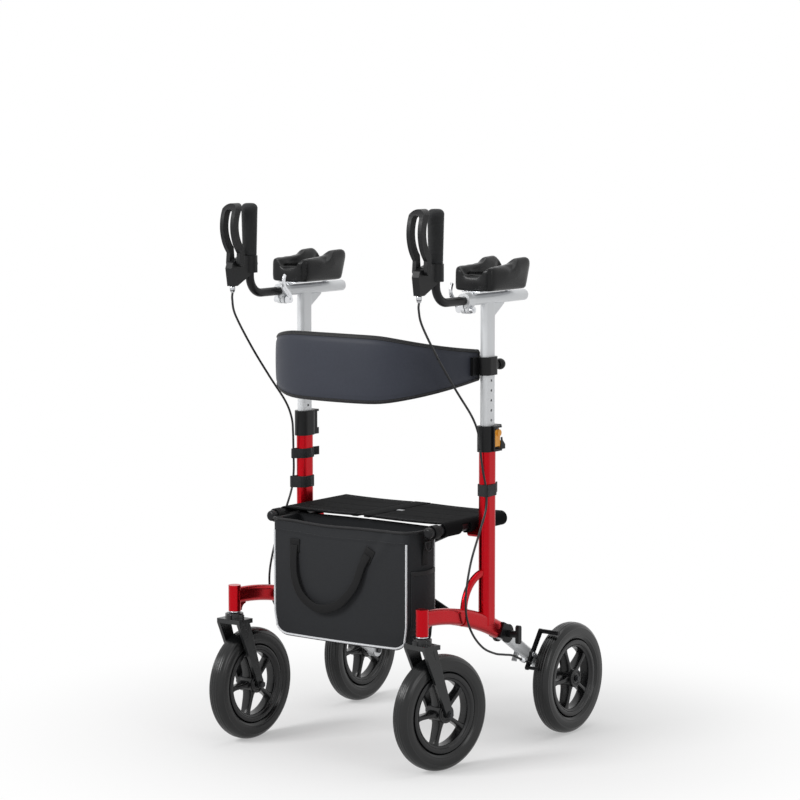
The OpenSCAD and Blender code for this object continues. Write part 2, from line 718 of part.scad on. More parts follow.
module caster_fork(turn) color(BLACK) caster_place(turn) {
  difference() {
    union() {
      for (s = [-1, 1]) translate([s * (fork_in + blade_t) / 2, 0, 0]) side_plate(blade_t) blade_side();
      translate([-fork_w / 2, -crown_l / 2, crown_top - crown_t]) cube([fork_w, crown_l, crown_t]);
      cylinder_between(lock_d, crown_top, crown_top + lock_h);
      for (a = [0:90:270]) rotate(a) translate([lock_d / 2, 0, 0])
        cylinder_between(lock_lobe_d, crown_top, crown_top + lock_h * 3 / 4);
      cylinder_between(stem_d * 3 / 2, crown_top, head_bottom - seat_fit);
      cylinder_between(stem_d, crown_top, stem_top - gap);
    }
    translate([0, caster_trail, wheel_r]) along_x(axle_d + 2 * near_fit, -fork_w, fork_w);
    for (s = [-1, 1]) translate([s * fork_w / 2, -crown_l / 4, crown_top - crown_t])
      side_plate(recess[1]) polygon([[0, 0], [recess[0] * 2 / 3, 0], [recess[0], -recess[0]]]);
  }
}
module cylinder_between(d, from, to) translate([0, 0, from]) cylinder(d = d, h = to - from);

module front_axle(turn) color(SILVER) caster_place(turn) translate([0, caster_trail, wheel_r])
  axle(-fork_w / 2, fork_w / 2);

axle_head_d = 15;
axle_head_t = 6;
module axle(from, to) {
  along_x(axle_d, from, to);
  translate([from - axle_head_t, 0, 0]) rotate([0, 90, 0])
    cylinder(d = axle_head_d, h = axle_head_t, $fn = 6);
  along_x(axle_head_d, to, to + axle_head_t / 2);
  along_x(axle_head_d * 2 / 3, to, to + axle_head_t);
}

// Tyre and five-spoke rim, drawn about the X axis
shoulder_r = 15;
bead_w = 30;
groove = [2, 2];
groove_pitch = 7;
rim_w = 34;
rim_wall = 11;
flange = [9, 4];
spoke_hub_w = 22;
spoke_rim_w = 15;
spoke_t = 13;
rib = [4, 20];

module tyre() color(BLACK) rotate([0, 90, 0]) rotate_extrude($fn = 96) difference() {
  union() {
    translate([rim_r, -tyre_w / 2 + shoulder_r / 3])
      square([wheel_r - rim_r - shoulder_r / 3, tyre_w - shoulder_r * 2 / 3]);
    translate([rim_r + shoulder_r, -tyre_w / 2])
      square([wheel_r - rim_r - 2 * shoulder_r, tyre_w]);
    translate([rim_r, -tyre_w / 2 + shoulder_r]) square([wheel_r - rim_r, tyre_w - 2 * shoulder_r]);
    for (s = [-1, 1], x = [rim_r + shoulder_r, wheel_r - shoulder_r])
      translate([x, s * (tyre_w / 2 - shoulder_r)]) circle(r = shoulder_r);
  }
  translate([0, -tyre_w]) square([rim_r, tyre_w * 2]);
  for (i = [-1:1]) translate([wheel_r - groove[0], i * groove_pitch - groove[1] / 2])
    square([groove[0] * 2, groove[1]]);
}

module rim() color(BLACK) rotate([0, 90, 0]) difference() {
  union() {
    rotate_extrude($fn = 96) {
      translate([rim_r - rim_wall, -rim_w / 2]) square([rim_wall - near_fit, rim_w]);
      translate([rim_r - rim_wall - flange[0], -rim_w / 2]) square([rim_wall, flange[1]]);
      translate([rim_r - rim_wall - flange[0], rim_w / 2 - flange[1]]) square([rim_wall, flange[1]]);
      translate([0, -hub_w / 2]) square([hub_d / 2, hub_w]);
    }
    for (i = [0:spokes - 1]) rotate(i * 360 / spokes) {
      linear_extrude(spoke_t, center = true)
        polygon([[0, -spoke_hub_w / 2], [rim_r - rim_wall / 2, -spoke_rim_w / 2],
          [rim_r - rim_wall / 2, spoke_rim_w / 2], [0, spoke_hub_w / 2]]);
      translate([0, -rib[0] / 2, -rib[1] / 2]) cube([rim_r - rim_wall / 2, rib[0], rib[1]]);
    }
  }
  cylinder(d = axle_d + 2 * pin_fit, h = hub_w * 2, center = true);
}

// Rear end: knuckle on the frame, wing knob, leg, axle and brake arm
knuckle = [0, knuckle_reach, bow_z(knuckle_bend)];
axle_place = [0, rear_reach, wheel_r];
leg_len = norm(axle_place - knuckle);
leg_fall = asin((knuckle[2] - wheel_r) / leg_len);
rear_out = leg_w / 2 + leg_gap + hub_w / 2;
cheek_w = 5;
knuckle_out = leg_w / 2 + gap + cheek_w;
eye_d = 33;
knuckle_pin_d = 10;
stud_d = 8;
wing_hub = [16, 26];
wing_t = 9;
socket_h = side_h * 9 / 10;
socket_web = 5;

module socket_frame() translate([bow_y(socket_start), bow_z(socket_start)]) rotate(-socket_start) children();

module leg_knuckle() color(BLACK) {
  for (s = [-1, 1]) translate([s * (knuckle_out - cheek_w / 2), 0, 0]) side_plate(cheek_w) {
    translate([knuckle[1], knuckle[2]]) circle(d = knuckle_d);
    socket_frame() translate([0, -socket_h / 2]) square([socket_gap, socket_h]);
  }
  side_plate(leg_w + 2 * gap + cheek_w) socket_frame()
    translate([0, -socket_h / 2]) square([socket_web, socket_h]);
  translate(knuckle) along_x(knuckle_pin_d, -knuckle_out + cheek_w / 2, knuckle_out - cheek_w / 2);
  translate(knuckle) along_x(stud_d, knuckle_out - cheek_w, knuckle_out + wing_hub[1]);
}

module wing_knob() color(BLACK) translate(knuckle + [knuckle_out + gap, 0, 0]) difference() {
  union() {
    along_x(wing_hub[0], 0, wing_hub[1]);
    translate([wing_hub[1], 0, 0]) side_plate(wing_t) oblong(wing_span, wing_w);
  }
  along_x(stud_d + 2 * pin_fit, -over, wing_hub[1] - gap);
}

boss_foot_d = 32;
brake_at = 118;
brake_stud_d = 8;
stop_at = 77;
stop = [14, 12, 4];

module leg_frame() translate(knuckle) rotate([-leg_fall, 0, 0]) children();

module rear_leg() color(SILVER) leg_frame() difference() {
  union() {
    rotate([-90, 0, 0]) linear_extrude(leg_len) oblong(leg_h, leg_w);
    along_x(eye_d, -leg_w / 2, leg_w / 2);
    translate([0, leg_len, 0]) along_x(boss_foot_d, -leg_w / 2, leg_w / 2);
    translate([0, brake_at, 0]) along_x(brake_stud_d, 0, leg_w / 2 + gap + brake_arm_t);
    translate([0, brake_at, 0]) along_x(brake_stud_d * 2, 0, leg_w / 2 + gap / 2);
    translate([0, stop_at, -leg_h / 2 - stop[0] / 2]) side_plate(stop[1])
      square([stop[2], stop[0] * 2], center = true);
  }
  along_x(knuckle_pin_d + 2 * pin_fit, -leg_w, leg_w);
  translate([0, leg_len, 0]) along_x(axle_d + 2 * near_fit, -leg_w, leg_w);
}

module rear_axle() color(SILVER) translate(axle_place) {
  axle(-leg_w / 2, rear_out + hub_w / 2 + gap);
  difference() {
    along_x(axle_head_d, leg_w / 2, rear_out - hub_w / 2 - gap);
    along_x(axle_d - near_fit, 0, rear_out);
  }
}

// Brake arm: pivots on the leg, its bar crosses in front of the tyre and its foot takes the cable
arm_width = 11;
foot_len = 34;
toe_len = 34;
brake_ring_r = wheel_r + brake_gap + brake_bar_d / 2;
brake_angle = 122;
bar_place = [rear_reach + brake_ring_r * cos(brake_angle), wheel_r + brake_ring_r * sin(brake_angle)];
brake_pivot = [knuckle[1] + brake_at * cos(leg_fall), knuckle[2] - brake_at * sin(leg_fall)];
arm_tilt = atan2(bar_place[1] - brake_pivot[1], bar_place[0] - brake_pivot[0]);
arm_reach = norm(bar_place - brake_pivot);
brake_foot = brake_pivot - foot_len * [cos(arm_tilt), sin(arm_tilt)];
arm_in = leg_w / 2 + gap;
bar_end = rear_out + tyre_w / 2;

module brake_arm() color(BLACK) difference() {
  union() {
    translate([arm_in + brake_arm_t / 2, 0, 0]) side_plate(brake_arm_t)
      translate(brake_pivot) rotate(arm_tilt) {
        translate([-foot_len, -arm_width / 2]) square([arm_reach + foot_len, arm_width]);
        for (x = [-foot_len, arm_reach]) translate([x, 0]) circle(d = arm_width);
        circle(d = brake_stud_d * 2);
      }
    translate([0, bar_place[0], bar_place[1]]) along_x(brake_bar_d, arm_in, bar_end);
    translate([0, brake_foot[0], brake_foot[1]]) along_x(brake_bar_d * 4 / 5, arm_in, arm_in + toe_len);
  }
  translate([0, brake_pivot[0], brake_pivot[1]]) along_x(brake_stud_d + 2 * pin_fit, 0, bar_end);
}

// Brake cable: points outboard of, behind and above the upright's foot, from the lever to the brake arm
cable_sides = 10;
cable_cuts = 3;
function cable_up(y, share) = [0, y, upright_top + (adjuster_tip - upright_top) * share];
function cable_low(x, y, dz) = [x, y, bow_z(bow_angle(y)) + dz];
cable_exit = -grip_ahead - exit_ahead;
wire_side = arm_in + brake_arm_t + gap + cable_d / 2;
wire_end = brake_foot + arm_width * [cos(arm_tilt), sin(arm_tilt)];
cable_route = [[0, cable_exit, adjuster_tip - gap - seat_fit], cable_up(cable_exit - 1, 0.946),
  cable_up(cable_exit + 11, 0.831) + [1, 0, 0], cable_up(cable_exit + 69, 0.585) + [2, 0, 0],
  cable_up(cable_exit + 134, 0.348) + [3, 0, 0], cable_up(-66, 0.145) + [4, 0, 0],
  cable_up(-42, 0.01) + [5, 0, 0], [6, -36, upright_top - 32], [9, -31, upright_top - 76],
  [14, -24, upright_top - 122], [16.5, -29, upright_top - 164], [16.5, -54, arch_h + 165],
  [17, -88, arch_h + 102], [18.5, -108, arch_h + 37], cable_low(19, -106, 3), cable_low(19, -82, -35),
  cable_low(18, -40, -59), cable_low(17, 8, -62), [16, knuckle[1] - 18, knuckle[2] - 45],
  [15.5, knuckle[1] + 18, knuckle[2] - 53], [18, brake_foot[0] - 26, brake_foot[1] + 22],
  [wire_side, wire_end[0], wire_end[1]]];

function cable_point(i) = cable_route[min(max(i, 0), len(cable_route) - 1)];
function spline(a, b, c, d, t) =
  0.5 * (2 * b + (c - a) * t + (2 * a - 5 * b + 4 * c - d) * t * t + (3 * b - a - 3 * c + d) * t * t * t);

module brake_cable() color(BLACK) {
  last = len(cable_route) - 1;
  path = [for (i = [0:last - 1], j = [0:cable_cuts - 1])
      spline(cable_point(i - 1), cable_point(i), cable_point(i + 1), cable_point(i + 2), j / cable_cuts),
    cable_point(last)];
  rings = len(path);
  points = [for (i = [0:rings - 1])
    let (along = unit(path[min(i + 1, rings - 1)] - path[max(i - 1, 0)]),
      side = unit(cross(along, [1, 0, 0])), out = cross(side, along))
    for (k = [0:cable_sides - 1]) let (a = 360 * k / cable_sides)
      path[i] + (side * cos(a) + out * sin(a)) * cable_d / 2];
  walls = [for (i = [0:rings - 2], k = [0:cable_sides - 1])
    let (m = (k + 1) % cable_sides, p = i * cable_sides, q = p + cable_sides)
    each [[p + k, q + k, q + m], [p + k, q + m, p + m]]];
  first = [for (k = [0:cable_sides - 1]) k];
  caps = [first, [for (k = first) rings * cable_sides - 1 - k]];
  polyhedron(points, concat(walls, caps));
}

// Cross brace: each tube runs from a lower pivot up to the rail of the other side
brace_tilt = atan2(rail_h - brace_h, 2 * rail_x);
brace_len = norm([2 * rail_x, rail_h - brace_h]);
brace_gap = 4;
brace_shift = (brace_d + brace_gap) / 2;
barrel_d = 24;
cross_pin_d = 8;
cap_round = 6;

module rail() {
  along_y(rail_d, -rail_ahead + cap_round, rail_behind - cap_round);
  for (end = [-rail_ahead + cap_round, rail_behind - cap_round]) translate([0, end, 0]) {
    rotate([-90, 0, 0]) rotate_extrude() translate([rail_d / 2 - cap_round, 0]) intersection() {
      circle(r = cap_round);
      translate([0, -cap_round]) square([cap_round, cap_round * 2]);
    }
    along_y(rail_d - 2 * cap_round, -cap_round, cap_round);
  }
}

// Drawn for the tube that starts at the left pivot, s = 1, or at the right one, s = -1
module cross_brace(s, pin_clear) color(BLACK) middle() difference() {
  union() {
    translate([s * rail_x, -brace_ahead, brace_h]) along_y(barrel_d, -barrel_len / 2, barrel_len / 2);
    translate([s * rail_x, -brace_ahead - s * brace_shift, brace_h]) rotate([0, s * (brace_tilt - 90), 0])
      cylinder(d = brace_d, h = brace_len);
    translate([-s * rail_x, 0, rail_h]) rail();
  }
  translate([s * rail_x, -brace_ahead, brace_h])
    along_y(brace_pin_d + 2 * pin_fit, -barrel_len, barrel_len);
  translate([0, -brace_ahead, (brace_h + rail_h) / 2])
    along_y(cross_pin_d + 2 * pin_clear, -barrel_len, barrel_len);
}

module brace_pin() color(SILVER) middle() translate([0, -brace_ahead, (brace_h + rail_h) / 2]) {
  half = brace_shift + brace_d / 2;
  along_y(cross_pin_d, -half - gap, half + gap);
  for (s = [-1, 1]) translate([0, s * (half + gap + cross_pin_d / 4), 0]) rotate([90, 0, 0])
    cylinder(d = cross_pin_d * 2, h = cross_pin_d / 2, center = true);
}

// Seat: two halves of cloth sleeved on the rails, the left one with a cover strip over the middle
mid_gap = 8.5;
strip_w = 30;
strip_t = 1.5;
notch_clear = 8;
sleeve_notch = brace_d + notch_clear;

module seat_half(s) color(SOFT) middle() difference() {
  union() {
    translate([s * rail_x, 0, rail_h]) along_y(sleeve_d, -seat_ahead, seat_behind);
    translate([s > 0 ? mid_gap : -rail_x, -seat_ahead, seat_h - seat_t])
      cube([rail_x - mid_gap, seat_ahead + seat_behind, seat_t]);
    if (s > 0) translate([mid_gap - strip_w, -seat_ahead, seat_h])
      cube([strip_w * 3 / 2, seat_ahead + seat_behind, strip_t]);
    if (s > 0) translate([mid_gap, -seat_ahead, seat_h - seat_t])
      cube([strip_w / 2, seat_ahead + seat_behind, seat_t + strip_t]);
  }
  translate([s * rail_x, 0, rail_h]) along_y(rail_d + 2 * seat_fit, -seat_ahead - over, seat_behind + over);
  translate([s * rail_x - sleeve_d, -brace_ahead + s * brace_shift - sleeve_notch / 2, rail_h - sleeve_d])
    cube([sleeve_d * 2, sleeve_notch, sleeve_d + rail_d / 4]);
  if (s < 0) translate([-mid_gap - strip_w, -seat_ahead - over, seat_h - seat_fit])
    cube([strip_w * 2, seat_ahead + seat_behind + 2 * over, seat_t]);
}

// Bag: an open tote with rounded corners, hung on two straps from the front ends of the rails
bag_corner = 36;
bag_side_round = 24;
hanger = [18, 4];
hanger_ahead = 150;
hanger_drop = 40;
module bag_plan(grow) translate([-bag_w / 2 - grow, -bag_ahead - grow])
  soft_square(bag_w + 2 * grow, bag_l + 2 * grow, bag_side_round + grow);
module bag_front(grow) translate([-bag_w / 2 - grow, bag_floor - grow])
  soft_square(bag_w + 2 * grow, (bag_rim - bag_floor) * 2, bag_corner + grow);
module soft_square(w, l, r) {
  translate([r, 0]) square([w - 2 * r, l]);
  translate([0, r]) square([w, l - 2 * r]);
  for (x = [r, w - r], y = [r, l - r]) translate([x, y]) circle(r = r);
}
module bag_form(grow, top) intersection() {
  translate([0, 0, bag_floor - over]) linear_extrude(top - bag_floor + over) bag_plan(grow);
  translate([0, -bag_ahead + bag_l / 2, 0]) front_plate(bag_l * 2) bag_front(grow);
}
module bag() color(SOFT) middle() {
  difference() {
    union() {
      bag_form(0, bag_rim);
      for (s = [-1, 1]) translate([s * rail_x, -hanger_ahead, rail_h]) {
        along_y(rail_d + 2 * (seat_fit + hanger[1]), -hanger[0] / 2, hanger[0] / 2);
        translate([s > 0 ? bag_w / 2 - rail_x - bag_t : 0, -hanger[0] / 2, -hanger_drop])
          cube([rail_x - bag_w / 2 + bag_t, hanger[0], hanger_drop]);
      }
    }
    bag_form(-bag_t, bag_rim + over);
    for (s = [-1, 1]) translate([s * rail_x, -hanger_ahead, rail_h])
      along_y(rail_d + 2 * seat_fit, -hanger[0], hanger[0]);
  }
}

// Backrest: a belt bowed ahead between the two posts, tall in the middle and narrow at its ends
belt_end_x = ux - band_w / 2 - seat_fit;
belt_end_y = 3;
belt_square = 0.667;
belt_flat = 110;
belt_run_shares = [0.8, 0.6];
belt_steps = 40;
belt_edge_shares = [-1, -0.97, -0.86, -0.6, -0.25, 0.25, 0.6, 0.86, 0.97, 1];

// The belt's middle line by its angle from straight ahead, its way out and its half height there
function belt_line(a) = [(belt_end_x - belt_t / 2) * sign(a) * pow(abs(sin(a)), belt_square),
  -belt_end_y - (belt_ahead - belt_end_y - belt_t / 2) * pow(abs(cos(a)), belt_square)];
function belt_out(a) = let (d = unit(belt_line(min(a + 1, 90)) - belt_line(max(a - 1, -90)))) [d[1], -d[0]];
function belt_run(p) = abs(p[0]) * belt_run_shares[0] + (p[1] + belt_ahead) * belt_run_shares[1];
function belt_half(p) = let (t = (belt_run(p) - belt_flat) / (belt_run(belt_line(90)) - belt_flat))
  (belt_h - (belt_h - belt_end_h) * min(max(t, 0), 1)) / 2;
function belt_ring(a) = let (p = belt_line(a), out = belt_out(a), half = belt_half(p),
    m = len(belt_edge_shares) - 1)
  [for (i = [0:2 * m - 1]) let (v = belt_edge_shares[i <= m ? i : 2 * m - i], side = i <= m ? 1 : -1,
      q = p + side * belt_t / 2 * sqrt(1 - pow(v, 4)) * out)
    [q[0], q[1], back_h + half * v]];

module backrest() color(SOFT) middle()
  band_loft([for (i = [0:belt_steps]) belt_ring(90 * (2 * i / belt_steps - 1))]);

module at_front(turn) caster_place(turn) translate([0, caster_trail, wheel_r]) children();
module at_rear() translate(axle_place + [rear_out, 0, 0]) children();

left() side_frame();  // side_frame_left
right() side_frame();  // side_frame_right
left() height_collar();  // height_collar_left
right() height_collar();  // height_collar_right
left() height_latch();  // height_latch_left
right() height_latch();  // height_latch_right
left() upper_post();  // upper_post_left
right() upper_post();  // upper_post_right
left() clamp_bolt();  // clamp_bolt_left
right() clamp_bolt();  // clamp_bolt_right
left() clamp_lever();  // clamp_lever_left
right() clamp_lever();  // clamp_lever_right
left() arm_plate();  // arm_plate_left
right() arm_plate();  // arm_plate_right
left() arm_pad();  // arm_pad_left
right() arm_pad();  // arm_pad_right
left() backrest_clamp();  // backrest_clamp_left
right() backrest_clamp();  // backrest_clamp_right
left() backrest_knob();  // backrest_knob_left
right() backrest_knob();  // backrest_knob_right
left() handle_bar();  // handle_bar_left
right() handle_bar();  // handle_bar_right
left() hand_grip();  // hand_grip_left
right() hand_grip();  // hand_grip_right
left() brake_housing();  // brake_housing_left
right() brake_housing();  // brake_housing_right
left() brake_lever();  // brake_lever_left
right() brake_lever();  // brake_lever_right
left() caster_fork(caster_turn[0]);  // caster_fork_left
right() caster_fork(caster_turn[1]);  // caster_fork_right
left() front_axle(caster_turn[0]);  // front_axle_left
right() front_axle(caster_turn[1]);  // front_axle_right
left() at_front(caster_turn[0]) tyre();  // front_tyre_left
right() at_front(caster_turn[1]) tyre();  // front_tyre_right
left() at_front(caster_turn[0]) rim();  // front_rim_left
right() at_front(caster_turn[1]) rim();  // front_rim_right
left() leg_knuckle();  // leg_knuckle_left
right() leg_knuckle();  // leg_knuckle_right
left() wing_knob();  // wing_knob_left
right() wing_knob();  // wing_knob_right
left() rear_leg();  // rear_leg_left
right() rear_leg();  // rear_leg_right
left() rear_axle();  // rear_axle_left
right() rear_axle();  // rear_axle_right
left() at_rear() tyre();  // rear_tyre_left
right() at_rear() tyre();  // rear_tyre_right
left() at_rear() rim();  // rear_rim_left
right() at_rear() rim();  // rear_rim_right
left() brake_arm();  // brake_arm_left
right() brake_arm();  // brake_arm_right
left() brake_cable();  // brake_cable_left
right() brake_cable();  // brake_cable_right
cross_brace(1, near_fit);  // cross_brace_a
cross_brace(-1, pin_fit);  // cross_brace_b
brace_pin();
seat_half(1);  // seat_left
seat_half(-1);  // seat_right
bag();
backrest();
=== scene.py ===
# Upright walker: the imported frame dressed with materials, soft goods, cables and small trim.
import json
from math import copysign, cos, exp, hypot, pi, radians, sin, sqrt

import bmesh
import bpy
import numpy as np
from mathutils import Matrix, Vector


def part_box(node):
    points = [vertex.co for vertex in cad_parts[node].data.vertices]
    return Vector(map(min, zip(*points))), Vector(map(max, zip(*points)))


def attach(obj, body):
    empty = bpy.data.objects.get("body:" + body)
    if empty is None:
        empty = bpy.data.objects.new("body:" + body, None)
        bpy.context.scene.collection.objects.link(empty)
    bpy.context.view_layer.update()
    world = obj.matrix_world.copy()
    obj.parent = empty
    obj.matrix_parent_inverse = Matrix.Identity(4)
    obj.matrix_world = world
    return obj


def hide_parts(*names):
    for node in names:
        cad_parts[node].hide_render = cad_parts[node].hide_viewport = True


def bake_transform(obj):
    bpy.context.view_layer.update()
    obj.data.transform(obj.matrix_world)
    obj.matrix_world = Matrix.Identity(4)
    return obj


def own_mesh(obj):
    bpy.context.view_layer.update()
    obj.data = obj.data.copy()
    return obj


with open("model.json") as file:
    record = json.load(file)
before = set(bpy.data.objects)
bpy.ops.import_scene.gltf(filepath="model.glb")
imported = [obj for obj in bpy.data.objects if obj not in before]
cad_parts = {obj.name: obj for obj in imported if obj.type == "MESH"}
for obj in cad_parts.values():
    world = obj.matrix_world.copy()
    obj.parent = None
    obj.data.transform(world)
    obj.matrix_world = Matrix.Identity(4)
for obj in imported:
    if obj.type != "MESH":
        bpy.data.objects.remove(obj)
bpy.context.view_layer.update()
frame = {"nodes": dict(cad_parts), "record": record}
scene = bpy.context.scene

# Places in millimetres, from the upright's axis: x outboard, y behind, z above the floor
MM = 0.001
UX, UY = 253.5, -34.0
RAIL_X, RAIL_Z, RAIL_R = 216.0, 508.7, 12.0
SIDES = {"left": 1, "right": -1}
ACROSS, BEHIND, UP = Vector((1, 0, 0)), Vector((0, 1, 0)), Vector((0, 0, 1))


def at(s, x, y, z):
    return Vector((s * (UX + x), UY + y, z)) * MM


def mid(x, y, z):
    return Vector((x, UY + y, z)) * MM


def each_side(build):
    for side, s in SIDES.items():
        build(side, s)


def add_object(name, data):
    made = bpy.data.objects.new(name, data)
    scene.collection.objects.link(made)
    return made


def configure(thing, values):
    for key, value in values.items():
        setattr(thing, key, value)


def dress(piece, body, node=None):
    """Hangs a piece on its body and hides the node that it stands in for."""
    if node:
        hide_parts(node)
    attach(piece, body)
    return piece


def folding(pieces, body):
    """Pieces that ride on a body, each given a mesh of its own."""
    for piece in pieces:
        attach(piece, body)
        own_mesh(piece)


# Camera, fitted to the photo
AZIMUTH, ELEVATION = radians(35.836), radians(6.3506)
CAMERA_PLACE = (3.73545, -5.18300, 1.47764)
FOCAL_PX, PHOTO_PX, SENSOR = 2849.67, 800.0, 36.0


def aim(thing, place, ahead):
    thing.location = place
    thing.rotation_euler = ahead.to_track_quat("-Z", "Y").to_euler()


def add_camera():
    data = bpy.data.cameras.new("camera")
    data.sensor_width = SENSOR
    data.lens = FOCAL_PX * SENSOR / PHOTO_PX
    data.clip_end = 100.0
    scene.camera = add_object("camera", data)
    level = cos(ELEVATION)
    back = Vector((sin(AZIMUTH) * level, -cos(AZIMUTH) * level, sin(ELEVATION)))
    aim(scene.camera, CAMERA_PLACE, -back)


# Nodes
def add_node(tree, kind, inputs=None, **settings):
    """A new node: its inputs, by name or by place, are linked to a socket or given a value."""
    node = tree.nodes.new("ShaderNode" + kind)
    configure(node, settings)
    for key, value in (inputs or {}).items():
        if isinstance(value, bpy.types.NodeSocket):
            tree.links.new(value, node.inputs[key])
        else:
            node.inputs[key].default_value = value
    return node


def math_node(tree, operation, a, b):
    return add_node(tree, "Math", {0: a, 1: b}, operation=operation).outputs[0]


def map_range(tree, value, start, end, first=0.0, last=1.0, kind="SMOOTHSTEP"):
    inputs = {"Value": value, "From Min": start, "From Max": end, "To Min": first, "To Max": last}
    return add_node(tree, "MapRange", inputs, interpolation_type=kind).outputs[0]


def mix_colours(tree, share, a, b, blend="MIX"):
    inputs = {0: share, 6: a, 7: b}
    return add_node(tree, "Mix", inputs, data_type="RGBA", blend_type=blend).outputs[2]


def mix_shaders(tree, share, a, b, output):
    mix = add_node(tree, "MixShader", {0: share, 1: a.outputs[0], 2: b.outputs[0]})
    add_node(tree, output, {0: mix.outputs[0]})


# Stage: a white room, a floor that fades into it, and three lamps
WHITE = (1, 1, 1, 1)
FLOOR_HALF, FLOOR_COLOUR = 30, (0.86, 0.86, 0.86, 1)
FADE_NEAR, FADE_FAR, FADE_LEAST = 0.25, 1.15, 0.35
ROOM_LIGHT = 0.38


def cleared(owner):
    owner.use_nodes = True
    owner.node_tree.nodes.clear()
    return owner.node_tree


def seen_by_eye(tree):
    """1 for what is looked at, straight, mirrored or through a clear thing, and 0 for other light."""
    path = add_node(tree, "LightPath").outputs
    direct = math_node(tree, "MAXIMUM", path["Is Camera Ray"], path["Is Glossy Ray"])
    return math_node(tree, "MAXIMUM", direct, path["Is Transmission Ray"])


def add_world():
    scene.world = bpy.data.worlds.new("studio")
    tree = cleared(scene.world)
    soft = add_node(tree, "Background", {"Color": WHITE, "Strength": ROOM_LIGHT})
    white = add_node(tree, "Background", {"Color": WHITE, "Strength": 1.0})
    mix_shaders(tree, seen_by_eye(tree), soft, white, "OutputWorld")


def add_floor():
    material = bpy.data.materials.new("floor")
    tree = cleared(material)
    diffuse = add_node(tree, "BsdfDiffuse", {"Color": FLOOR_COLOUR})
    white = add_node(tree, "Emission", {"Color": WHITE, "Strength": 1.0})
    place = add_node(tree, "TexCoord").outputs["Object"]
    reach = add_node(tree, "VectorMath", {0: place}, operation="LENGTH").outputs["Value"]
    fade = map_range(tree, reach, FADE_NEAR, FADE_FAR, FADE_LEAST)
    share = math_node(tree, "MULTIPLY", fade, seen_by_eye(tree))
    mix_shaders(tree, share, diffuse, white, "OutputMaterial")
    mesh = bpy.data.meshes.new("floor")
    corners = [(x * FLOOR_HALF, y * FLOOR_HALF, 0) for x, y in ((-1, -1), (1, -1), (1, 1), (-1, 1))]
    mesh.from_pydata(corners, [], [(0, 1, 2, 3)])
    mesh.materials.append(material)
    add_object("floor", mesh)


def add_lamp(name, place, target, size, power):
    data = bpy.data.lights.new(name, "AREA")
    data.shape = "RECTANGLE"
    data.size, data.size_y = size
    data.energy = power
    aim(add_object(name, data), place, Vector(target) - Vector(place))


add_camera()
add_world()
add_floor()
add_lamp("key", (-1.5, -3.3, 2.7), (0, 0, 0.6), (1.5, 1.5), 108)
add_lamp("fill", (3.6, -1.4, 2.2), (0, 0, 0.6), (1.6, 2.0), 18)
add_lamp("top", (0.2, 0.5, 3.6), (0, 0, 0.4), (2.6, 2.6), 30)
scene.view_settings.view_transform = "Standard"

# Materials: every one has its own colour drift, roughness drift and surface grain, and most have a painted
# highlight, a lighter colour, along their rounded edges
COAT_ROUGH, SHEEN_ROUGH, THREAD_SHADE = 0.08, 0.4, 0.35
# Where the painted edge highlight starts and where it is full, as the dot of the rounded and the flat normal
GLINT_START, GLINT_FULL = 0.985, 0.86


def shade(c, k):
    return tuple(min(max(v * k, 0.0), 1.0) for v in c) + (1.0,)


def noise(tree, coords, size, detail, roughness):
    inputs = {"Vector": coords, "Scale": 1.0 / (size * MM), "Detail": detail, "Roughness": roughness}
    return add_node(tree, "TexNoise", inputs).outputs["Fac"]


def stretched_noise(tree, coords, size, scale):
    stretch = add_node(tree, "Mapping", {"Vector": coords, "Scale": scale})
    return noise(tree, stretch.outputs["Vector"], size, 3.0, 0.6)


def cells(tree, coords, size, feature, scatter):
    inputs = {"Vector": coords, "Scale": 1.0 / (size * MM), "Randomness": scatter}
    return add_node(tree, "TexVoronoi", inputs, feature=feature).outputs["Distance"]


def height_map(tree, coords, pattern, size):
    if pattern == "weave":
        warp = stretched_noise(tree, coords, size, (1.0, 1.0, 0.16))
        weft = stretched_noise(tree, coords, size, (0.16, 0.16, 1.0))
        return math_node(tree, "ADD", warp, weft)
    if pattern == "twill":
        inputs = {"Vector": coords, "Scale": 2 * pi / (20 * size * MM), "Distortion": 1.2, "Detail": 1.0}
        bands = add_node(tree, "TexWave", inputs, wave_type="BANDS", bands_direction="DIAGONAL")
        fibre = stretched_noise(tree, coords, size / 2, (1.0, 1.0, 0.2))
        return math_node(tree, "ADD", bands.outputs["Fac"], fibre)
    if pattern == "leather":
        return map_range(tree, cells(tree, coords, size, "DISTANCE_TO_EDGE", 1.0), 0.0, 0.22)
    if pattern == "dots":
        return map_range(tree, cells(tree, coords, size, "F1", 0.0), 0.28, 0.42, 1.0, 0.0)
    return stretched_noise(tree, coords, size, (1.0, 1.0, 0.02 if pattern == "brush" else 1.0))


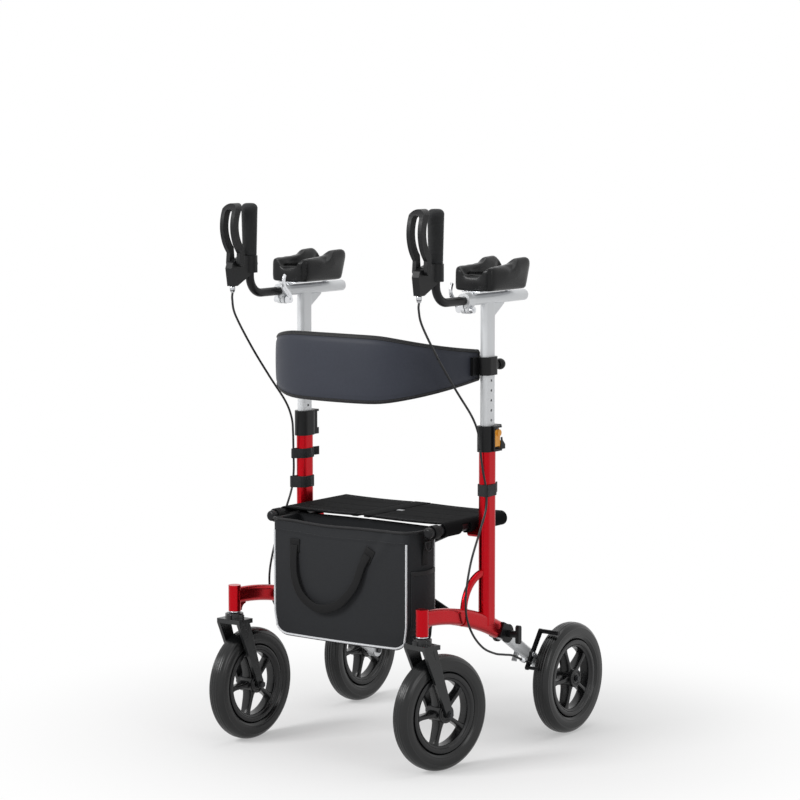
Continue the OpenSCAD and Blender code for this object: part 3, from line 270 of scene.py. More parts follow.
def surface(name, colour, rough, metal=0.0, drift=0.2, patch=30.0, rough_drift=0.08, pattern="grain",
            size=0.6, bump=0.05, depth=0.05, edge=0.0, edge_glint=0.3, glint_colour=None, coat=0.0, sheen=0.0,
            specular=0.5):
    made = bpy.data.materials.new(name)
    made.use_nodes = True
    tree = made.node_tree
    shader = tree.nodes["Principled BSDF"]
    constants = {"Metallic": metal, "Coat Weight": coat, "Coat Roughness": COAT_ROUGH, "Sheen Weight": sheen,
                 "Sheen Roughness": SHEEN_ROUGH, "Specular IOR Level": specular}
    for key, value in constants.items():
        shader.inputs[key].default_value = value
    coords = add_node(tree, "TexCoord").outputs["Object"]
    cloud = noise(tree, coords, patch, 4.0, 0.55)
    tone = mix_colours(tree, cloud, shade(colour, 1 - drift), shade(colour, 1 + drift))
    smoothest, roughest = max(rough - rough_drift, 0.02), min(rough + rough_drift, 1.0)
    roughness = map_range(tree, cloud, 0.0, 1.0, smoothest, roughest, "LINEAR")
    height = height_map(tree, coords, pattern, size)
    raised = add_node(tree, "Bump", {"Height": height, "Strength": bump, "Distance": depth * MM})
    if pattern in ("weave", "twill", "leather"):
        tone = mix_colours(tree, THREAD_SHADE, tone, height, "MULTIPLY")
    if edge > 0:
        soft = add_node(tree, "Bevel", {"Radius": edge * MM}, samples=6).outputs[0]
        tree.links.new(soft, raised.inputs["Normal"])
        # Painted highlight: the colour turns towards the lighter edge colour where the rounded normal leans
        # away from the flat one
        if glint_colour:
            normal = add_node(tree, "NewGeometry").outputs["Normal"]
            turned = add_node(tree, "VectorMath", {0: soft, 1: normal}, operation="DOT_PRODUCT")
            glint_share = map_range(tree, turned.outputs["Value"], GLINT_START, GLINT_FULL, 0.0, edge_glint)
            tone = mix_colours(tree, glint_share, tone, shade(glint_colour, 1.0))
    for key, socket in (("Base Color", tone), ("Roughness", roughness), ("Normal", raised.outputs[0])):
        tree.links.new(socket, shader.inputs[key])
    return made


# The second colour of each material below, with its strength, is a painted highlight for its edges, lighter
# than the colour itself
RED = surface("red_paint", (0.46, 0.002, 0.008), 0.24, metal=0.88, drift=0.08, patch=40, size=0.25, edge=1.0,
              edge_glint=0.2, glint_colour=(0.6, 0.03, 0.04), coat=0.08, specular=0.25)
SILVER = surface("satin_aluminium", (0.68, 0.695, 0.71), 0.32, metal=0.35, drift=0.05, patch=90,
                 pattern="brush", size=0.5, edge=0.7, glint_colour=(0.80, 0.81, 0.82))
STEEL = surface("zinc_steel", (0.56, 0.57, 0.59), 0.24, metal=1.0, drift=0.08, patch=12, size=0.4, depth=0.03,
                edge=0.5, glint_colour=(0.8, 0.8, 0.81))
CHROME = surface("bright_chrome", (0.70, 0.71, 0.73), 0.12, metal=1.0, drift=0.05, patch=20, rough_drift=0.03,
                 size=0.4, bump=0.03, depth=0.02, edge=0.6)
BLACK_ZINC = surface("black_zinc", (0.030, 0.031, 0.034), 0.36, metal=0.5, patch=10, size=0.4, bump=0.08,
                     depth=0.03, edge=0.5, edge_glint=0.4, glint_colour=(0.10, 0.10, 0.105))
POWDER = surface("black_powder_coat", (0.007, 0.007, 0.008), 0.34, patch=50, size=0.9, bump=0.15, depth=0.08,
                 edge=0.8, glint_colour=(0.035, 0.035, 0.037), specular=0.22)
PLASTIC = surface("black_moulded_plastic", (0.008, 0.0083, 0.009), 0.38, bump=0.18, depth=0.08, edge=0.9,
                  edge_glint=0.35, glint_colour=(0.04, 0.041, 0.043), specular=0.2)
DOTTED = surface("black_dotted_plastic", (0.008, 0.0083, 0.009), 0.38, pattern="dots", size=3.2, bump=0.6,
                 depth=0.5, edge=0.9, glint_colour=(0.04, 0.041, 0.043), specular=0.2)
YELLOW = surface("yellow_plastic", (0.86, 0.37, 0.028), 0.34, drift=0.08, patch=15, bump=0.1, edge=0.7,
                 glint_colour=(0.95, 0.6, 0.2))
RUBBER = surface("tyre_rubber", (0.005, 0.0054, 0.0057), 0.22, drift=0.25, patch=35, size=0.7, depth=0.04,
                 edge=0.7, glint_colour=(0.03, 0.03, 0.032), specular=0.42)
FORK = surface("satin_fork_plastic", (0.013, 0.0138, 0.0145), 0.28, bump=0.08, edge=1.2, edge_glint=0.5,
               glint_colour=(0.07, 0.072, 0.075), specular=0.42)
RIM = surface("glossy_rim_plastic", (0.007, 0.0072, 0.008), 0.26, bump=0.10, edge=0.9, edge_glint=0.4,
              glint_colour=(0.05, 0.051, 0.053), specular=0.4)
FOAM = surface("foam_grip", (0.022, 0.023, 0.024), 0.75, drift=0.25, patch=18, size=0.5, bump=0.5, depth=0.2,
               sheen=0.1, specular=0.25)
LEATHER = surface("black_leatherette", (0.005, 0.0053, 0.0058), 0.27, pattern="leather", size=1.3, bump=0.16,
                  depth=0.06, specular=0.24)
WEAVE = surface("bag_weave", (0.015, 0.016, 0.018), 0.74, drift=0.15, patch=45, pattern="weave", size=1.3,
                bump=0.5, depth=0.2, rough_drift=0.06, sheen=0.10, specular=0.22)
SEAT = surface("seat_weave", (0.006, 0.0062, 0.0066), 0.8, drift=0.18, patch=60, pattern="weave", size=1.1,
               bump=0.4, depth=0.15, rough_drift=0.06, specular=0.04)
BELT = surface("belt_cloth", (0.031, 0.0345, 0.047), 0.52, drift=0.10, patch=50, pattern="weave", size=1.0,
               bump=0.3, depth=0.12, sheen=0.06, specular=0.22)
BINDING = surface("binding_tape", (0.010, 0.010, 0.011), 0.6, patch=20, pattern="twill", size=2.4, bump=0.5,
                  depth=0.15, sheen=0.08, specular=0.25)
WEBBING = surface("webbing", (0.007, 0.0071, 0.0076), 0.64, patch=25, pattern="twill", size=3.0, bump=0.6,
                  depth=0.25, sheen=0.03, specular=0.15)
PIPING = surface("pale_piping", (0.62, 0.63, 0.65), 0.42, drift=0.08, patch=12, pattern="twill", size=2.4,
                 bump=0.3, depth=0.1, sheen=0.1)
SHEATH = surface("cable_sheath", (0.010, 0.010, 0.011), 0.35, drift=0.15, patch=40, bump=0.1, specular=0.35)
FUZZ = surface("hook_and_loop", (0.024, 0.0245, 0.026), 0.85, drift=0.3, patch=6, size=0.35, bump=0.9,
               depth=0.4, sheen=0.2, specular=0.2)
THREAD = surface("thread", (0.030, 0.031, 0.034), 0.6, patch=4, pattern="twill", size=1.5, bump=0.4,
                 depth=0.08, sheen=0.2)
TAG = surface("woven_tag", (0.40, 0.41, 0.42), 0.6, drift=0.1, patch=6, pattern="weave", size=0.5, bump=0.4,
              depth=0.1)

NODE_MATERIALS = [
    (RED, "side_frame"), (SILVER, "upper_post rear_leg"), (CHROME, "clamp_bolt clamp_lever"),
    (STEEL, "arm_plate brace_pin"), (POWDER, "handle_bar brake_arm cross_brace"), (DOTTED, "brake_lever"),
    (FORK, "caster_fork"), (BLACK_ZINC, "front_axle rear_axle"),
    (PLASTIC, "height_collar backrest_clamp backrest_knob brake_housing leg_knuckle wing_knob")]
for node_name, node_object in frame["nodes"].items():
    for node_material, starts in NODE_MATERIALS:
        if node_name.startswith(tuple(starts.split())):
            node_object.data.materials.clear()
            node_object.data.materials.append(node_material)


# Curves
def clamp(t):
    return min(max(t, 0.0), 1.0)


def smoothstep(t):
    t = clamp(t)
    return t * t * (3 - 2 * t)


def bell(d, width):
    return exp(-(d / width) ** 2)


def circle(count):
    """The angles of even steps round a circle."""
    return [2 * pi * k / count for k in range(count)]


def swing(u, v, a):
    return u * cos(a) + v * sin(a)


def spline(points, cuts):
    pts = [Vector(p) for p in points]
    line = []
    for i in range(len(pts) - 1):
        a, b, c, d = pts[max(i - 1, 0)], pts[i], pts[i + 1], pts[min(i + 2, len(pts) - 1)]
        for j in range(cuts):
            t = j / cuts
            line.append(0.5 * (2 * b + (c - a) * t + (2 * a - 5 * b + 4 * c - d) * t * t
                               + (3 * b - a - 3 * c + d) * t ** 3))
    return line + [pts[-1]]


def tangents(path):
    last = len(path) - 1
    return [(path[min(i + 1, last)] - path[max(i - 1, 0)]).normalized() for i in range(len(path))]


# Mesh makers
def make(name, points, faces, material, smooth=True):
    mesh = bpy.data.meshes.new(name)
    mesh.from_pydata([tuple(p) for p in points], [], faces)
    build = bmesh.new()
    build.from_mesh(mesh)
    bmesh.ops.remove_doubles(build, verts=build.verts, dist=1e-6)
    bmesh.ops.recalc_face_normals(build, faces=build.faces)
    build.to_mesh(mesh)
    build.free()
    mesh.materials.append(material)
    mesh.polygons.foreach_set("use_smooth", [smooth] * len(mesh.polygons))
    return add_object(name, mesh)


def ring_faces(rows, n, closed):
    last = n if closed else n - 1
    return [(i * n + k, i * n + (k + 1) % n, (i + 1) * n + (k + 1) % n, (i + 1) * n + k)
            for i in range(rows - 1) for k in range(last)]


def capped_faces(rows, n, base=0):
    """The faces of closed rings with both ends capped, for points that start at base."""
    faces = ring_faces(rows, n, True) + [tuple(range(n)), tuple(range((rows - 1) * n, rows * n))]
    return [tuple(base + j for j in f) for f in faces]


def loft(name, rings, material, caps=True, closed=True):
    rows, n = len(rings), len(rings[0])
    faces = capped_faces(rows, n) if caps and closed else ring_faces(rows, n, closed)
    return make(name, [p for ring in rings for p in ring], faces, material)


def tube(name, path, radius, material, sides=12, closed=False):
    along = tangents(path)
    if closed:
        along[0] = along[-1] = (path[1] - path[-2]).normalized()
    side = along[0].orthogonal().normalized()
    rings = []
    for p, d in zip(path, along):
        side = (side - d * side.dot(d)).normalized()
        rings.append([p + swing(side, d.cross(side), a) * radius * MM for a in circle(sides)])
    return loft(name, rings, material)


def ribbon(name, path, across, width, thick, material):
    """A flat band with rounded edges; across is one direction, or one for each point of the path."""
    across = across if isinstance(across, list) else [across] * len(path)
    half, t = width / 2, thick / 2
    edge = [(half, 0), (half - t * 0.3, t * 0.8), (half - t, t)]
    top = edge + [(0, t * 1.05)] + [(-u, v) for u, v in edge[::-1]]
    outline = top + [(u, -v) for u, v in top[-2:0:-1]]
    rings = []
    for p, d, a in zip(path, tangents(path), across):
        a = (a - d * a.dot(d)).normalized()
        up = d.cross(a)
        rings.append([p + (a * u + up * v) * MM for u, v in outline])
    return loft(name, rings, material)


STITCH_PITCH, STITCH_SHARE, STITCH_R = 4.0, 0.62, 0.45


def stitches(name, path):
    """A row of short threads along a path, each a six-sided spindle."""
    points, faces = [], []
    run = np.cumsum([0.0] + [(b - a).length for a, b in zip(path, path[1:])])

    def place(s):
        return Vector([np.interp(s, run, axis) for axis in np.array(path).T])
    for k in range(int(run[-1] / (STITCH_PITCH * MM))):
        a, b = place(k * STITCH_PITCH * MM), place((k + STITCH_SHARE) * STITCH_PITCH * MM)
        d = (b - a).normalized()
        u = d.orthogonal().normalized()
        v = d.cross(u)
        base = len(points)
        points.append(a)
        for q in (0.2, 0.8):
            points += [a.lerp(b, q) + swing(u, v, w) * STITCH_R * MM for w in circle(6)]
        points.append(b)
        for m in range(6):
            n = (m + 1) % 6
            faces += [(base, base + 1 + n, base + 1 + m),
                      (base + 1 + m, base + 1 + n, base + 7 + n, base + 7 + m),
                      (base + 13, base + 7 + m, base + 7 + n)]
    return make(name, points, faces, THREAD)


def modify(piece, kind, **settings):
    modifier = piece.modifiers.new(kind.lower(), kind)
    configure(modifier, settings)
    return modifier


def soften(piece, width):
    modify(piece, "BEVEL", width=width * MM, segments=2, limit_method="ANGLE")
    return piece


def baked(piece):
    shown = piece.evaluated_get(bpy.context.evaluated_depsgraph_get())
    mesh = bpy.data.meshes.new_from_object(shown)
    piece.modifiers.clear()
    piece.data = mesh
    return piece


def thicken(piece, thickness, offset=0.0):
    modify(piece, "SOLIDIFY", thickness=thickness * MM, offset=offset)
    return baked(piece)


def even_out(mesh, passes):
    form = bmesh.new()
    form.from_mesh(mesh)
    for _ in range(passes):
        bmesh.ops.smooth_vert(form, verts=form.verts, factor=0.5, use_axis_x=True, use_axis_y=True,
                              use_axis_z=True)
    form.to_mesh(mesh)
    form.free()


CLOTH = {"quality": 5, "mass": 0.3, "tension_stiffness": 12.0, "compression_stiffness": 12.0,
         "shear_stiffness": 8.0, "bending_stiffness": 1.0, "use_pressure": True, "vertex_group_mass": "pin"}


def swell(piece, voxel, pressure, cap, pin_z):
    """Blows a closed form up like a stuffed cover, held below pin_z; a point moves by the cap at most."""
    modify(piece, "REMESH", mode="VOXEL", voxel_size=voxel * MM, use_smooth_shade=True)
    bpy.context.view_layer.update()
    baked(piece)
    mesh = piece.data
    even_out(mesh, 6)
    start = np.array([v.co for v in mesh.vertices])
    group = piece.vertex_groups.new(name="pin")
    group.add([v.index for v in mesh.vertices if v.co.z < pin_z * MM], 1.0, "ADD")
    cloth = modify(piece, "CLOTH")
    configure(cloth.settings, CLOTH)
    cloth.settings.uniform_pressure_force = pressure
    cloth.settings.effector_weights.gravity = 0.0
    cloth.collision_settings.use_collision = False
    for f in range(1, 21):
        scene.frame_set(f)
    shown = piece.evaluated_get(bpy.context.evaluated_depsgraph_get())
    moved = np.array([v.co for v in shown.data.vertices]) - start
    reach = np.linalg.norm(moved, axis=1, keepdims=True)
    moved *= np.minimum(1.0, cap * MM / np.maximum(reach, 1e-9))
    piece.modifiers.clear()
    piece.vertex_groups.clear()
    mesh.vertices.foreach_set("co", (start + moved).ravel())
    even_out(mesh, 3)
    scene.frame_set(1)


# Brake cables: the route of the CAD solids, in three stretches
CABLE_D = 5.0
CABLE = [(0, -259, 1015.7), (0, -260, 1000), (1, -248, 965), (2, -190, 890), (3, -125, 818), (4, -66, 756.2),
         (5, -42, 715), (6, -36, 680), (9, -31, 636), (14, -24, 590), (16.5, -29, 548), (16.5, -54, 500),
         (17, -88, 437), (18.5, -108, 372), (19, -106, 322.2), (19, -82, 278.5), (18, -40, 242.3),
         (17, 8, 221.7), (16, 46, 212.9), (15.5, 82, 204.9), (18, 117.8, 189), (19.5, 150.2, 175.9)]
CUTS = 10
# Each stretch: two bodies, first and last point of the route, first and last point of the blend
STRETCHES = [("handle", "upper", 0, 3, 0, 3), ("upper", "frame", 3, 7, 3, 7), ("frame", "leg", 7, 21, 17, 21)]


def brake_cables(side, s):
    line = spline([at(s, *p) for p in CABLE], CUTS)
    for k, (a, b, first, last, start, end) in enumerate(STRETCHES):
        path = line[first * CUTS:last * CUTS + 1]
        piece = tube(f"brake_cable_{side}_{k}", path, CABLE_D / 2, SHEATH, sides=14)
        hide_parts(f"brake_cable_{side}")
        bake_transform(piece)


each_side(brake_cables)

# Forearm pads: a stuffed block with a trough along it, a flat front and rear wings
PAD_AHEAD, PAD_BEHIND, PAD_W, PAD_Z = 60.0, 102.0, 104.0, 1029.0
PAD_LIP, PAD_FLOOR, PAD_EDGE, PAD_CORNER, PAD_LEAN = 8.0, 21.0, 5.0, 11.0, 20.0
WALL_H, WALL_RISE, WALL_RUN, WING_H, WING_Y, WING_RUN = 54.0, 9.0, 80.0, 8.5, 20.0, 28.0
TAIL_RUN, TAIL_DROP = 22.0, 16.0
WELT_Z, WELT_W, WELT_DEEP = 9.0, 1.6, 0.9
PAD_SWELL = 1.2
QUARTER = [pi / 2 * k / 4 for k in range(5)]


def pad_top(y):
    """The height of the pad's walls: a slope, rear wings and a rounded end."""
    end = max(0.0, (y - PAD_BEHIND + TAIL_RUN) / TAIL_RUN)
    slope = WALL_H + WALL_RISE * clamp((y + PAD_AHEAD) / WALL_RUN)
    wing = WING_H * smoothstep((y - WING_Y) / WING_RUN)
    return slope + wing - TAIL_DROP * (1 - sqrt(max(1 - end * end, 0.0)))


def pad_ring(y, inset, shrink):
    """A cross-section: over the right wall, under the floor, over the left wall and back along the trough."""
    w, top = PAD_W / 2 - inset - shrink, pad_top(y) - 0.5 * inset - shrink
    open_front = smoothstep((10 - y) / 60)
    floor, crown = PAD_FLOOR + 5 * open_front + 0.4 * inset, top - PAD_LIP
    square = 0.62 + 0.36 * open_front
    outer = [(w - PAD_LIP * (1 - sin(a)), crown + PAD_LIP * cos(a)) for a in QUARTER]
    outer += [(w, crown + (PAD_EDGE - crown) * k / 8) for k in range(1, 9)]
    outer += [(w - PAD_EDGE * (1 - cos(a)), PAD_EDGE * (1 - sin(a))) for a in QUARTER[1:]]
    outer += [((w - PAD_EDGE) * (1 - k / 6), 0.0) for k in range(1, 7)]
    inner = [(w - PAD_LIP * (1 + sin(a)), crown + PAD_LIP * cos(a)) for a in QUARTER[1:]]
    half = w - 2 * PAD_LIP
    inner += [(half * max(cos(a), 0.0) ** square, floor + (crown - floor) * (1 - sin(a) ** square))
              for a in (pi / 2 * k / 18 for k in range(1, 19))]
    outline = outer + [(-x, z) for x, z in outer[-2::-1]] + [(-x, z) for x, z in inner] + inner[-2::-1]
    lean = PAD_LEAN * smoothstep((y - WING_Y) / (PAD_BEHIND - WING_Y))
    return [Vector((x, y - lean * (1 - z / top), z)) * MM for x, z in outline]


def arm_pad():
    shrink = PAD_SWELL
    length = PAD_AHEAD + PAD_BEHIND
    ends = [0, 0.6, 2.0, 4.5, 8.0]
    rings = []
    for d in ends + list(np.linspace(12, length - 12, 28)) + [length - d for d in ends[::-1]]:
        past = max(PAD_CORNER - min(d, length - d), 0.0)
        rings.append(pad_ring(d - PAD_AHEAD, PAD_CORNER - sqrt(PAD_CORNER ** 2 - past ** 2), shrink))
    pad = loft("arm_pad", rings, LEATHER)
    swell(pad, voxel=3.0, pressure=4.0, cap=5.0, pin_z=0.8)
    for v in pad.data.vertices:
        v.co.z = max(v.co.z, 0.0)
    for v, out in zip(pad.data.vertices, [v.normal.copy() for v in pad.data.vertices]):
        v.co -= out * WELT_DEEP * MM * bell(v.co.z / MM - WELT_Z, WELT_W) * smoothstep(1 - 2 * abs(out.z))
    return pad


pad_form = arm_pad()


def pad_cover(side, s):
    mesh = pad_form.data.copy()
    if s < 0:
        mesh.transform(Matrix.Diagonal((-1, 1, 1, 1)))
        mesh.flip_normals()
    mesh.transform(Matrix.Translation(at(s, 0, 0, PAD_Z)))
    cover = add_object(f"arm_pad_{side}_cover", mesh)
    modify(cover, "SUBSURF", levels=1, render_levels=1)
    dress(cover, f"upper_{side}", f"arm_pad_{side}")


each_side(pad_cover)
bpy.data.objects.remove(pad_form)

# Backrest belt: padded cloth with a bound edge, tall in the middle
BELT_END_X, BELT_END_Y, BELT_AHEAD, BELT_T, BACK_Z = 236.65, 3.0, 238.0, 16.0, 862.0
BELT_TALL, BELT_LOW, BELT_FLAT, BELT_RUN, BELT_SQUARE = 150.0, 68.0, 110.0, 323.9, 0.667
BELT_KEEP, BELT_EASE = 0.419, 26.0
SEAM_IN, SEAM_W, SEAM_PULL = 11.0, 2.2, 1.4
FOLD_H, FOLD_AT, FOLD_W = 0.5, 0.72, 0.18
TAPE_W, TAPE_T = 8.0, 0.9


def belt_line(count):
    """Evenly spaced points of the belt's mid line, as x and y, with the normal that faces ahead."""
    half, deep = BELT_END_X - BELT_T / 2, BELT_AHEAD - BELT_END_Y - BELT_T / 2
    dense = []
    for i in range(-600, 601):
        a = copysign(pi / 2 * smoothstep(abs(i) / 600), i)
        x = half * copysign(abs(sin(a)) ** BELT_SQUARE, a)
        dense.append((x, -BELT_END_Y - deep * max(cos(a), 0.0) ** BELT_SQUARE))
    dense = np.array(dense)
    run = np.concatenate(([0.0], np.cumsum(np.hypot(*np.diff(dense, axis=0).T))))
    even = np.linspace(0.0, run[-1], count)
    xs, ys = np.interp(even, run, dense[:, 0]), np.interp(even, run, dense[:, 1])
    dx, dy = np.gradient(xs), np.gradient(ys)
    size = np.hypot(dx, dy)
    return list(zip(xs, ys, dy / size, -dx / size))


BELT_LINE = belt_line(141)


def belt_half(x, y):
    past = 0.8 * abs(x) + 0.6 * (y + BELT_AHEAD) - BELT_FLAT
    past = (past + hypot(past, BELT_EASE)) / 2
    return (BELT_TALL - (BELT_TALL - BELT_LOW) * min(past / (BELT_RUN - BELT_FLAT), 1.0)) / 2


def belt_point(i, v, side, out=0.0):
    x, y, nx, ny = BELT_LINE[i]
    half = belt_half(x, y)
    share = 2 * i / (len(BELT_LINE) - 1) - 1
    thick = BELT_T / 2 * sqrt(max(1 - v ** 4, 0))
    pull = SEAM_PULL * bell((1 - abs(v)) * half - SEAM_IN, SEAM_W)
    fold = FOLD_H * sin(share * 55 + 3 * v) * (1 - v * v) * bell(abs(share) - FOLD_AT, FOLD_W)
    off = side * (thick - pull + fold + out)
    return mid(x + nx * off, y + ny * off, BACK_Z + (half + out) * v)


def belt_ring(i, rows, out=0.0):
    return [belt_point(i, v, 1, out) for v in rows] + [belt_point(i, v, -1, out) for v in rows[-2:0:-1]]


def tape_point(i, edge, depth, side, out):
    """A point on the belt's face, at a depth from its upper or lower edge."""
    return belt_point(i, edge * (1 - depth / belt_half(*BELT_LINE[i][:2])), side, out)


def backrest():
    below = [-1, -0.985, -0.95, -0.91, -0.87, -0.83, -0.79, -0.74, -0.66, -0.5, -0.3, -0.1]
    rows = below + [-v for v in below[::-1]]
    turns = range(len(BELT_LINE))
    belt = loft("backrest_belt", [belt_ring(i, rows) for i in turns], BELT)
    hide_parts("backrest")
    trim = []
    depths = [TAPE_W * q for q in (1, 0.9, 0.6, 0.35, 0.15, 0.05, 0)]
    for k, edge in enumerate((1, -1)):
        rings = [[tape_point(i, edge, d, 1, TAPE_T) for d in depths]
                 + [tape_point(i, edge, d, -1, TAPE_T) for d in depths[::-1]] for i in turns]
        trim.append(loft(f"backrest_binding_{k}", rings, BINDING))
        seam = [tape_point(i, edge, TAPE_W * 0.75, 1, TAPE_T + 0.2) for i in turns[3:-3]]
        trim.append(stitches(f"backrest_stitch_{k}", seam))
    for k, ends in enumerate((turns[:2], turns[-2:])):
        trim.append(loft(f"backrest_end_binding_{k}", [belt_ring(i, rows, TAPE_T) for i in ends], BINDING))
    folding([belt] + trim, "backrest")


backrest()

# Seat: two halves of taut cloth sleeved on the rails
SEAT_FRONT, SEAT_BACK, SEAT_Z, CLOTH_T, MID_GAP, SEAT_SAG = -125.0, 112.0, 525.0, 3.0, 8.5, 1.6
STRIP_W, STRIP_T = 44.0, 1.2
HEM_IN, HEM_W, HEM_DIP = 18.0, 1.5, 0.9
CHANNELS, CHANNEL_W, CHANNEL_DIP = (-66, -6, 54), 2.2, 0.8
NOTCH_Y, NOTCH_SHIFT, NOTCH_HALF, NOTCH_TOP = -60, 12, 16, 7


def seat_top(x):
    return SEAT_Z - SEAT_SAG * sin(pi * (x - MID_GAP) / (RAIL_X - MID_GAP))


def seat_half(side, s):
    r = SEAT_Z - RAIL_Z - CLOTH_T / 2
    wrap = [radians(v) for v in range(-110, 91, 10)]
    section = [(RAIL_X + r * cos(a), RAIL_Z + r * sin(a)) for a in wrap]
    section += [(x, seat_top(x) - CLOTH_T / 2) for x in np.linspace(RAIL_X, MID_GAP, 34)[1:]]
    between = list(np.linspace(SEAT_FRONT + 4, SEAT_BACK - 4, 72))
    ys = [SEAT_FRONT, SEAT_FRONT + 1.5] + between + [SEAT_BACK - 1.5, SEAT_BACK]
    points, faces = [], []
    for y in ys:
        hem = max(bell(y - SEAT_FRONT - HEM_IN, HEM_W), bell(y - SEAT_BACK + HEM_IN, HEM_W))
        channel = max(bell(y - c, CHANNEL_W) for c in CHANNELS)
        dip = HEM_DIP * hem + CHANNEL_DIP * channel
        edge = 0.6 if y in (ys[0], ys[-1]) else 0.0
        for i, (x, z) in enumerate(section):
            flat = smoothstep((i - len(wrap) + 3) / 6)
            under = STRIP_T * smoothstep((STRIP_W / 2 + 3 - x) / 4)
            points.append(mid(s * x, y, z - (dip + edge) * flat - under))
    for f in ring_faces(len(ys), len(section), False):
        c = sum((points[i] for i in f), Vector()) / 4 / MM
        beside = abs(c.y - UY - NOTCH_Y - s * NOTCH_SHIFT) < NOTCH_HALF
        if not (beside and c.z < RAIL_Z + NOTCH_TOP):
            faces.append(f)
    seat = thicken(make(f"seat_cloth_{side}", points, faces, SEAT), CLOTH_T)
    dress(seat, f"seat_half_{side}", f"seat_{side}")
    for k, y in enumerate((SEAT_FRONT + 16, SEAT_FRONT + 20, SEAT_BACK - 20, SEAT_BACK - 16)):
        seam = [mid(s * x, y, seat_top(x) - 0.3) for x in np.linspace(MID_GAP + 18, RAIL_X - 6, 24)]
        dress(stitches(f"seat_stitch_{side}_{k}", seam), f"seat_half_{side}")


each_side(seat_half)
strip_path = [mid(1, y, SEAT_Z - STRIP_T / 2) for y in np.linspace(SEAT_FRONT, SEAT_BACK, 40)]
dress(ribbon("seat_mid_strip", strip_path, ACROSS, STRIP_W, STRIP_T, SEAT), "seat_half_left")
tag_path = [mid(30, y, SEAT_Z - 0.6) for y in (-22, -18, -14, -10)]
dress(soften(ribbon("seat_tag", tag_path, ACROSS, 16, 0.8, TAG), 0.1), "seat_half_left")

# Bag: a sagging tote with piping, pockets and webbing, hung on the rails' front ends
BAG_W, BAG_L, BAG_FRONT, BAG_FLOOR, BAG_RIM, BAG_CORNER = 380.0, 106.0, -206.0, 247.0, 500.0, 36.0
BAG_Y = BAG_FRONT + BAG_L / 2
BAG_KEEP, BAG_TURN, BAG_HEM, BAG_PIPE, BAG_IN = 0.31, 12.0, 0.885, 0.016, 2
# Stretches of the plan, in the order that u runs: walls have even numbers, the corners after them odd ones
FRONT, FRONT_LEFT, LEFT, REAR_LEFT, REAR, REAR_RIGHT, RIGHT, FRONT_RIGHT = range(8)
bag_pieces = []


def bag_runs(w, l):
    corner = pi / 2 * BAG_TURN
    return [2 * w, corner, 2 * l, corner] * 2


def bag_u(part, share):
    runs = bag_runs(BAG_W / 2 - BAG_IN - BAG_TURN, BAG_L / 2 - BAG_IN - BAG_TURN)
    return (sum(runs[:part]) + runs[part] * share) / sum(runs)


def bag_plan(u, v):
    """A point of the bag's outer wall: u runs round the plan, v is 0 at the floor and 1 at the rim."""
    low = 1 - smoothstep(v / 0.14)
    w, l = BAG_W / 2 - BAG_IN - 4 * low - BAG_TURN, BAG_L / 2 - BAG_IN - 3 * low - BAG_TURN
    runs = bag_runs(w, l)
    p = (u % 1.0) * sum(runs)
    part = FRONT
    while part < FRONT_RIGHT and p >= runs[part]:
        p -= runs[part]
        part += 1
    share, k = p / runs[part], part // 2
    corners = [(w, -l), (w, l), (-w, l), (-w, -l)]
    (x, y), a = corners[k], pi / 2 * (k - 1)
    if part % 2:
        a += pi / 2 * share
    else:
        x0, y0 = corners[k - 1]
        x, y = x0 + (x - x0) * share, y0 + (y - y0) * share
    out = (cos(a), sin(a))
    return (x + BAG_TURN * out[0], y + BAG_TURN * out[1]), out, part, share


def rim_z(x, y):
    rear = BAG_RIM + 13 - 3 * (x / (BAG_W / 2)) ** 2
    front = BAG_RIM + 10 - 2 * cos(x / 60.0) + 0.8 * sin(x / 31.0)
    return rear + (front - rear) * smoothstep((BAG_FRONT + BAG_L * 0.3 - y) / 20)


def bag_bulge(part, share, v):
    """How far the cloth stands out: a full front with slanting wrinkles, soft sides and a drawn rear."""
    middle = sin(pi * share)
    if part == FRONT:
        bulge = 7 * middle * sin(pi * min(v * 1.1, 1)) ** 0.8
        bulge += 0.8 * sin(share * 11 + v * 4) * smoothstep((v - 0.7) / 0.3)
        bulge -= 4 * smoothstep((v - 0.86) / 0.14) * middle
        bulge += 1.2 * smoothstep((v - BAG_HEM) / 0.008)
        for edge in (share, 1 - share):
            slant = 9 * edge - 6 * (1 - v)
            place = bell(slant - 1.0, 0.9) * bell(edge - 0.16, 0.14) * smoothstep((v - 0.5) / 0.3)
            bulge += 1.8 * sin(3.4 * slant) * place
        return bulge
    if part in (LEFT, RIGHT):
        return 4 * middle * sin(pi * v)
    return -3 * middle * smoothstep((v - 0.5) / 0.5) if part == REAR else 0.0


def bag_point(u, v, out=0.0):
    (x, y), (nx, ny), part, share = bag_plan(u, v)
    out += bag_bulge(part, share, v)
    x, y = x + nx * out, y + ny * out + BAG_Y
    near = clamp((abs(x) - BAG_W / 2 + BAG_CORNER + 8) / BAG_CORNER)
    floor = BAG_FLOOR + BAG_IN + 0.9 * BAG_CORNER * (1 - sqrt(1 - near ** 2))
    sag = 2 * (1 - (x / (BAG_W / 2)) ** 2)
    return mid(x, y, floor + (rim_z(x, y) - floor) * v - sag * (1 - v) ** 2)


